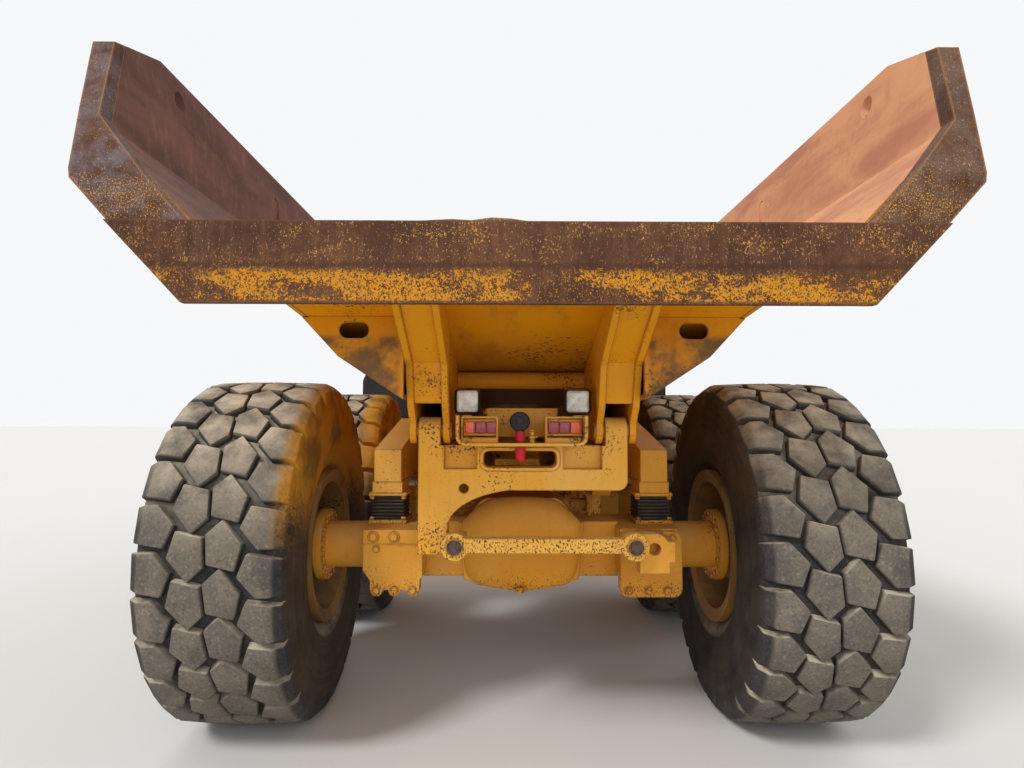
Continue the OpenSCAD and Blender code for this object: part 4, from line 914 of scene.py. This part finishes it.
tail_glass, tree, shader = material("tail_lens")
place = here(tree)
from_middle = unsigned(plus(parts(place)["X"], 0.005))
tone = mixed(ramp(from_middle, 0.197, 0.199), (146, 10, 38), (226, 84, 8))
film = dust_on(tree, 0.35, 40)
flutes = plus(waves(place, 55, "X"), waves(place, 40, "Z"))
wire(shader, Base_Color=mixed(film, tone, (176, 140, 104)), Roughness=ramp(film, 0, 1, 0.12, 0.6),
     Coat_Weight=0.3, Normal=bump(flutes, 0.0009, 0.5))
tail_low, tail_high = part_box("tail_lamps")
LENS_SPANS = [(-0.238, -0.1075), (0.1005, 0.236)]
SEAM = 0.0008
cells, backs = [], []
for near, far in LENS_SPANS:
    width = (far - near) / 3
    for i in range(3):
        low = (near + i * width + SEAM, tail_low.y + 0.004, tail_low.z + 0.016)
        high = (near + (i + 1) * width - SEAM, tail_high.y - 0.004, tail_high.z - 0.012)
        cells.append(slab("cell", low, high, 0.004, 3))
    backs.append(slab("lamp_back", (near - 0.005, tail_low.y + 0.012, tail_low.z + 0.006),
                      (far + 0.003, tail_high.y, tail_high.z - 0.003), 0.003))
lenses = settle(join(*cells), tail_glass, "rear_frame")
lenses.name = "tail_lenses"
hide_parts("tail_lamps")
settle(join(*backs), axle_paint, "rear_frame").name = "tail_lamp_backs"

# Work lamps: square flood lamps, each a frosted plastic lens sunk in a black moulded shell that is bolted
# to the lamp plate.
housing_black = plain("housing_black", (20, 20, 22), (34, 32, 31), rough=0.42, scale=20)
work_glass, tree, shader = material("work_lens")
place = here(tree)
cells_pattern = put(tree, "ShaderNodeTexVoronoi", {"Vector": place, "Scale": 120}).outputs["Distance"]
smoke = ramp(grain(place, 30, 5, 0.6), 0.35, 0.7)
wire(shader, Base_Color=mixed(smoke, (214, 212, 196), (166, 160, 142)), Roughness=0.22, Coat_Weight=0.8,
     Normal=bump(cells_pattern, 0.002, 0.7))
WORK_LAMPS_X = [(-0.285, -0.175), (0.168, 0.283)]
shells, lenses = [], []
work_low, work_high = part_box("work_lamps")
for x0, x1 in WORK_LAMPS_X:
    shell = slab("shell", (x0, work_low.y, work_low.z), (x1, work_high.y, work_high.z), 0.022, 5)
    edit(shell)
    bpy.ops.mesh.select_all(action="DESELECT")
    shape = bmesh.from_edit_mesh(shell.data)
    for face in shape.faces:
        face.select = face.normal.y < -0.99 and face.calc_area() > 0.001
    bmesh.update_edit_mesh(shell.data)
    bpy.ops.mesh.inset(thickness=0.004)
    bpy.ops.mesh.extrude_region_move(TRANSFORM_OT_translate={"value": (0, 0.012, 0)})
    leave()
    shells.append(shell)
    lenses.append(slab("lens", (x0 + 0.007, work_low.y - 0.0015, work_low.z + 0.007),
                       (x1 - 0.007, work_low.y + 0.03, work_high.z - 0.007), 0.0155, 6))
lamp_shells = settle(join(*shells), housing_black, "rear_frame")
lamp_shells.name = "work_lamp_shells"
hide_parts("work_lamps")
settle(join(*lenses), work_glass, "rear_frame").name = "work_lenses"

# Reversing alarm: a black plastic drum with a ribbed face, screwed to a bracket. Below the tray beside it
# hang a red flask and a bleed valve of painted steel.
alarm = middle("reversing_alarm")
alarm_low, alarm_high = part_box("reversing_alarm")
DRUM = [(0, 0), (0, 0.012), (0.004, 0.014), (0.004, 0.02), (0, 0.022), (0, 0.03), (0.004, 0.032),
        (0.004, 0.036), (0, 0.038), (0.003, 0.041), (0.062, 0.0415), (0.069, 0.036), (0.069, 0)]
DRUM_Z, STAND_TOP = 1.367, 1.335
drum = lathe("reversing_drum", DRUM, 32, ALONG)
move(drum, (alarm.x, alarm_low.y, DRUM_Z))
stand = slab("stand", (alarm.x - 0.018, alarm_low.y + 0.012, alarm_low.z),
             (alarm.x + 0.018, alarm_high.y - 0.012, STAND_TOP), 0.004)
siren = settle(join(drum, stand), housing_black, "rear_frame")
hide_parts("reversing_alarm")
red_paint = plain("red_paint", (206, 26, 42), (178, 20, 40), rough=0.35, scale=25)
FLASK = [(1.205, 0), (1.205, 0.012), (1.212, 0.0205), (1.262, 0.021), (1.2655, 0.0165), (1.284, 0.0165),
         (1.287, 0.021), (1.318, 0.0215), (1.327, 0.016), (1.33, 0)]
VALVE = [(1.2755, 0), (1.2755, 0.01), (1.296, 0.01), (1.298, 0.014), (1.308, 0.014), (1.31, 0.008),
         (1.326, 0.008), (1.328, 0.012), (1.334, 0.012), (1.336, 0)]
guard_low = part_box("lamp_guard")[0]
flask = lathe("red_flask", FLASK, 28, UPRIGHT)
move(flask, (-0.012, guard_low.y + 0.066, 0))
settle(flask, red_paint, "rear_frame")
valve = lathe("valve_body", VALVE, 16, UPRIGHT)
move(valve, (0.036, guard_low.y + 0.066, 0))
spout = slab("spout", (0.03, guard_low.y + 0.06, 1.3), (0.058, guard_low.y + 0.072, 1.309), 0.003)
settle(join(valve, spout), frame_paint, "rear_frame").name = "bleed_valve"

# Hydraulic rods: ground steel with hard chrome, oily, with fine rub marks along their travel. The barrels
# that they slide in are painted with the frame.
rod_chrome, tree, shader = material("rod_chrome")
rub = grain(here(tree, stretch=(60, 2, 60)), 6, 4, 0.7)
oil = ramp(grain(here(tree), 14, 5, 0.6), 0.45, 0.7)
wire(shader, Base_Color=mixed(oil, (206, 206, 204), (150, 138, 118)), Metallic=1,
     Roughness=ramp(plus(rub, oil), 0.4, 1.5, 0.12, 0.42), Normal=bump(rub, 0.0003, 0.3))
dress(rod_chrome, "hoist_rod_left", "hoist_rod_right", "steer_rod_left", "steer_rod_right")

# Wheel flaps: reinforced rubber sheets hung behind the middle wheels, scuffed grey, each clamped at its top
# by a bolted bar of black steel.
flap_rubber = plain("flap_rubber", (33, 34, 40), (58, 52, 50), rough=0.72, scale=5, depth=0.0015)
dress(flap_rubber, "wheel_flaps")
flap_low, flap_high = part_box("wheel_flaps")
BAR_INNER, BAR_OUTER = 0.86, 1.29
BOLTS_X = (0.9, 1, 1.1, 1.2, 1.265)
bars = []
for way in (-1, 1):
    inner, outer = sorted((way * BAR_INNER, way * BAR_OUTER))
    face = flap_low.y - 0.007
    bars.append(slab("flap_bar", (inner, face, flap_high.z - 0.115),
                     (outer, flap_low.y + 0.001, flap_high.z - 0.07), 0.002))
    spots = [(way * x, face, flap_high.z - 0.0925) for x in BOLTS_X]
    bars.append(bolts("flap_bolts", spots, BACKWARDS, 0.009))
black_steel = steel("black_steel", (44, 42, 41), (66, 60, 55), (98, 66, 44), chips=0.2, dust=0.45, gloss=0.4)
settle(join(*bars), black_steel, "bed").name = "flap_bars"

# Front frame: a bumper and mirror shells of black steel, struts, mudguards moulded in black plastic, and
# steps of pressed tread plate.
dress(black_steel, "bumper", "struts", "mirrors")
guard_plastic = plain("guard_plastic", (38, 38, 39), (60, 57, 54), rough=0.62, scale=3.5, depth=0.0012)
dress(guard_plastic, "mudguards")
tread_plate, tree, shader = material("tread_plate")
bars = [ramp(waves(here(tree, stretch=(1, way, 1)), 16, "DIAGONAL"), 0.55, 0.8) for way in (1, -1)]
studs = times(*bars)
mud = dust_on(tree, 0.85, 6)
worn = mixed(times(studs, 0.7), (46, 44, 42), (132, 126, 116))
wire(shader, Base_Color=mixed(mud, worn, (150, 128, 98)), Roughness=ramp(mud, 0, 1, 0.42, 0.9), Metallic=0.2,
     Normal=bump(studs, 0.002, 0.8))
dress(tread_plate, "steps")

# Engine and cooler: a cast iron block bolted between the rails, and a radiator core of fine fins between
# painted tanks.
iron = steel("block_iron", (112, 104, 86), (134, 122, 98), (86, 60, 42), chips=0.4, dust=0.6, gloss=0.6)
dress(iron, "engine_block")
cooler, tree, shader = material("cooler_fins")
fins = waves(here(tree), 60, "X")
tubes = waves(here(tree), 16, "Z")
grime = ramp(grain(here(tree), 5, 5, 0.6), 0.4, 0.65)
wire(shader, Base_Color=mixed(grime, (52, 52, 54), (104, 92, 74)), Roughness=0.6, Metallic=0.4,
     Normal=bump(plus(fins, times(tubes, 0.6)), 0.003, 0.8))
dress(cooler, "radiator")

# Cab, door and hood: pressed steel panels in yellow enamel that has kept its shine, with few chips. The
# roof is a white moulding, and the panes are clear glass with a film of dust.
cab_yellow = steel("cab_yellow", (224, 164, 40), (218, 162, 56), (110, 74, 44), chips=0.12, worn=0.35,
                   dust=0.3, gloss=0.34, seed=21, specks=0.25)
dress(cab_yellow, "cab_shell", "cab_door", "hood")
roof_white, tree, shader = material("roof_white")
streaks = ramp(grain(here(tree, stretch=(1, 1, 0.3)), 5, 6, 0.65), 0.42, 0.72)
powder = dust_on(tree, 0.5, 3)
skin = mixed(times(streaks, 0.4), (212, 209, 198), (168, 158, 138))
wire(shader, Base_Color=mixed(powder, skin, (178, 162, 134)), Roughness=ramp(powder, 0, 1, 0.4, 0.85),
     Normal=bump(grain(here(tree), 180), 0.0006, 0.4))
dress(roof_white, "cab_roof")
glass, tree, shader = material("cab_glass")
film = ramp(grain(here(tree), 3, 6, 0.65), 0.45, 0.75)
wire(shader, Base_Color=mixed(times(film, 0.3), (226, 238, 236), (196, 184, 164)),
     Roughness=ramp(film, 0, 1, 0.02, 0.16), Transmission_Weight=0.94, IOR=1.35)
dress(glass, "cab_glass", "door_glass")


# Window rubbers and door handle: black mouldings pressed round each pane, and a handle with its lock
# screwed to the door.
def seal(name, axis, at, low, high, width=0.022, depth=0.012):
    """A rubber frame round a pane that faces along axis 0 or 1. low and high are its other two places."""
    sides = []
    for edge in range(4):
        a, b = list(low), list(high)
        line = edge // 2
        if edge % 2:
            a[line] = high[line] - width
        else:
            b[line] = low[line] + width
        a.insert(axis, at)
        b.insert(axis, at + depth)
        sides.append(slab(name, a, b, 0.004))
    return join(*sides)


trim_rubber = plain("trim_rubber", (26, 26, 27), (44, 42, 40), rough=0.6, scale=12)
WINDOW_LOW, WINDOW_HIGH = 2.2, 3.26
right_seal = seal("right_seal", 0, 0.696, (1.395, WINDOW_LOW), (2.555, WINDOW_HIGH))
rear_seal = seal("rear_seal", 1, 1.268, (-0.59, WINDOW_LOW + 0.12), (0.59, WINDOW_HIGH))
left_seal = seal("left_seal", 0, -0.708, (1.365, WINDOW_LOW + 0.1), (1.585, WINDOW_HIGH))
seals = join(right_seal, rear_seal, left_seal)
settle(seals, trim_rubber, "front_frame").name = "window_seals"
door_seal = seal("door_seal", 0, -0.706, (1.731, 2.26), (2.529, 3.214))
handle = slab("handle", (-0.724, 2.43, 2.06), (-0.706, 2.545, 2.086), 0.006, 3)
boss = slab("boss", (-0.712, 2.44, 2.04), (-0.696, 2.57, 2.104), 0.005)
LOCK = [(-0.716, 0), (-0.716, 0.012), (-0.708, 0.014), (-0.7, 0.014), (-0.7, 0)]
lock = lathe("lock", LOCK, 20)
move(lock, (0, 2.556, 2.072))
settle(join(door_seal, handle, boss, lock), trim_rubber, "cab_door").name = "door_seal"

# Mirrors: silvered glass in the black shells, a tall flat pane above a wide-angle one on each side, clipped
# in and facing the tail.
mirror_low, mirror_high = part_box("mirrors")
PANES = [("pane", mirror_low.z + 0.15, mirror_high.z - 0.012),
         ("wide_pane", mirror_low.z + 0.012, mirror_low.z + 0.138)]
PANE_INNER, PANE_OUTER = 1.203, 1.427
panes = []
for way in (-1, 1):
    inner, outer = sorted((way * PANE_INNER, way * PANE_OUTER))
    for name, bottom, top in PANES:
        low = (inner, mirror_high.y - 0.0405, bottom)
        panes.append(slab(name, low, (outer, mirror_high.y - 0.034, top), 0.003))
silver, tree, shader = material("mirror_silver")
film = ramp(grain(here(tree), 9, 5, 0.6), 0.4, 0.7)
wire(shader, Base_Color=mixed(times(film, 0.4), (214, 220, 222), (170, 160, 142)), Metallic=1,
     Roughness=ramp(film, 0, 1, 0.03, 0.25))
settle(join(*panes), silver, "front_frame").name = "mirror_panes"

# Headlamps: clear lenses over bowls of bright pressed steel, a pair on each side, in black housings bolted
# to the bumper.
dress(housing_black, "headlamps")
BOWL = [(0, 0), (0.002, 0.03), (0.0045, 0.052), (0.008, 0.06), (0.008, 0.066), (-0.004, 0.068), (-0.004, 0)]
LENS = [(0.0075, 0), (0.0095, 0.03), (0.0085, 0.05), (0.0065, 0.058), (0.005, 0.058), (0.005, 0)]
lamp_low, lamp_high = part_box("headlamps")
height = (lamp_low.z + lamp_high.z) / 2
HEADLAMPS_X = (0.935, 1.125)
bowls, clear = [], []
for way in (-1, 1):
    for x in HEADLAMPS_X:
        for kind, profile, ahead_by, pile in [("bowl", BOWL, 0, bowls), ("lens", LENS, 0.004, clear)]:
            turned = lathe(kind, profile, 36, ALONG)
            move(turned, (way * x, lamp_high.y + ahead_by, height))
            pile.append(turned)
settle(join(*bowls), silver, "front_frame").name = "headlamp_bowls"
settle(join(*clear), work_glass, "front_frame").name = "headlamp_lenses"


# Exhaust and air cleaner: a steel muffler browned by heat and a black plastic canister with a ribbed cap,
# both held upright by clamp bands.
BAND = [(0, -0.004), (0, 0.003), (0.003, 0.005), (0.022, 0.005), (0.025, 0.003), (0.025, -0.004)]


def band(name, x, y, z, radius):
    """A clamp band round an upright pipe, with its bolt lug."""
    hoop = lathe(name, [(along, radius + out) for along, out in BAND], 48, UPRIGHT)
    move(hoop, (x, y, z))
    face = y - radius
    lug = slab("lug", (x - 0.012, face - 0.026, z + 0.003), (x + 0.012, face + 0.004, z + 0.022), 0.003)
    return join(hoop, lug, bolts("lug_bolt", [(x + 0.012, face - 0.014, z + 0.0125)], ACROSS, 0.006))


hot_steel = steel("hot_steel", (104, 84, 70), (128, 100, 80), (92, 54, 34), chips=0.55, worn=0.3, dust=0.5,
                  gloss=0.65, seed=31)
dress(hot_steel, "exhaust")
dress(guard_plastic, "air_cleaner")
PIPES_X, PIPES_Y = 0.47, 1.105
stack = [band("muffler_band", PIPES_X, PIPES_Y, z, 0.11) for z in (1.66, 2.05, 2.44)]
stack.append(band("pipe_band", PIPES_X, PIPES_Y, 2.56, 0.06))
settle(join(*stack), hot_steel, "front_frame").name = "muffler_bands"
canister = [band("cleaner_band", -PIPES_X, PIPES_Y, z, 0.13) for z in (1.7, 2.13)]
CAP_RIBS = 18
RIB_LOW, RIB_HIGH = (0.107, -0.0035, 2.712), (0.114, 0.0035, 2.808)
for i in range(CAP_RIBS):
    rib = slab("cap_rib", RIB_LOW, RIB_HIGH, 0.0015, 1)
    move(rib, (-PIPES_X, PIPES_Y, 0), 2 * math.pi * i / CAP_RIBS)
    canister.append(rib)
settle(join(*canister), black_steel, "front_frame").name = "cleaner_bands"

# Driver's seat: woven cloth sewn over foam, a cushion and a back drawn in along two seams, on a rubber
# bellows and a steel foot that is bolted to the cab's floor.
weave, tree, shader = material("seat_weave")
place = here(tree)
warp, weft_y, weft_z = [waves(place, 95, direction) for direction in "XYZ"]
cloth = plus(warp, times(weft_y, weft_z))
rubbed = ramp(grain(place, 7, 5, 0.6), 0.42, 0.68)
thread = mixed(ramp(cloth, 0.4, 1.4), (34, 35, 38), (62, 62, 66))
wire(shader, Base_Color=mixed(times(rubbed, 0.5), thread, (96, 88, 76)), Roughness=0.92, Sheen_Weight=0.35,
     Sheen_Roughness=0.5, Normal=bump(cloth, 0.0011, 0.7))
SWELL_CAP = 0.014


def cushion(name, low, high, seam, thick):
    """A sewn pad: a rounded block blown up as cloth and drawn in along two seams. thick is its thin axis."""
    pad = slab(name, low, high, 0.028, 4)
    remesh = pad.modifiers.new("voxels", "REMESH")
    remesh.mode = "VOXEL"
    remesh.voxel_size = 0.01
    only(pad)
    bpy.ops.object.modifier_apply(modifier=remesh.name)
    still = [corner.co.copy() for corner in pad.data.vertices]
    swell = pad.modifiers.new("swell", "CLOTH")
    swell.settings.use_pressure = True
    swell.settings.uniform_pressure_force = 4
    swell.settings.effector_weights.gravity = 0
    for moment in range(1, 21):
        bpy.context.scene.frame_set(moment)
    bpy.ops.object.modifier_apply(modifier=swell.name)
    bpy.context.scene.frame_set(1)
    for corner, start in zip(pad.data.vertices, still):
        moved = corner.co - start
        if moved.length > SWELL_CAP:
            corner.co = start + moved * (SWELL_CAP / moved.length)
        draw = math.exp(-((abs(start.x) - seam) / 0.009) ** 2) * 0.011
        across = start[thick] - (low[thick] + high[thick]) / 2
        corner.co[thick] -= math.copysign(draw, across)
    subdivided(pad, 1)
    return pad


CUSHION_LOW, CUSHION_HIGH = (-0.228, 1.67, 2.13), (0.228, 2.142, 2.226)
BACK_LOW, BACK_HIGH = (-0.218, 1.567, 2.25), (0.218, 1.645, 2.878)
pad = settle(cushion("seat_cushion", CUSHION_LOW, CUSHION_HIGH, 0.15, 2), weave, "front_frame",
             ["seat"], None)
back = settle(cushion("seat_back", BACK_LOW, BACK_HIGH, 0.14, 1), weave, "front_frame",
              angle=None)
smooth(pad, 60)
smooth(back, 60)
bellows = []
for i in range(6):
    z = 1.85 + i * 0.04
    shrink = 0.006 * (i % 2)
    low = (-0.165 + shrink, 1.7 + shrink, z)
    bellows.append(slab("fold", low, (0.165 - shrink, 2.03 - shrink, z + 0.042), 0.014, 3))
for name, low, high, radius in [("seat_foot", (-0.17, 1.695, 1.79), (0.17, 2.035, 1.855), 0.006),
                                ("seat_pan", (-0.2, 1.665, 2.088), (0.2, 2.13, 2.136), 0.008),
                                ("back_frame", (-0.12, 1.6, 2.11), (0.12, 1.68, 2.3), 0.012)]:
    bellows.append(slab(name, low, high, radius))
settle(join(*bellows), trim_rubber, "front_frame").name = "seat_base"

# Dashboard: grained plastic moulded round the steering column, with plain round gauges pressed in and
# rocker switches in two rows.
DIAL = [(0, 0), (0.004, 0), (0.004, 0.042), (0.01, 0.044), (0.01, 0.052), (0, 0.055)]
dash_plastic = plain("dash_plastic", (42, 42, 44), (58, 56, 55), rough=0.58, scale=60, depth=0.001)
dress(dash_plastic, "steering_column")
DIALS_X, DIALS_Y, DIALS_Z = (-0.15, 0, 0.15), 2.56, 2.199
gauges = []
for x in DIALS_X:
    dial = lathe("dial", DIAL, 36, UPRIGHT)
    move(dial, (x, DIALS_Y, DIALS_Z))
    gauges.append(dial)
for row in (0, 1):
    for i in range(5):
        x = 0.235 + 0.034 * i
        low = (x, 2.5 + 0.06 * row, 2.196)
        gauges.append(slab("rocker", low, (x + 0.024, 2.54 + 0.06 * row, 2.209), 0.003))
settle(join(*gauges), trim_rubber, "front_frame").name = "dash_gauges"

bpy.context.scene.view_settings.view_transform = "Standard"
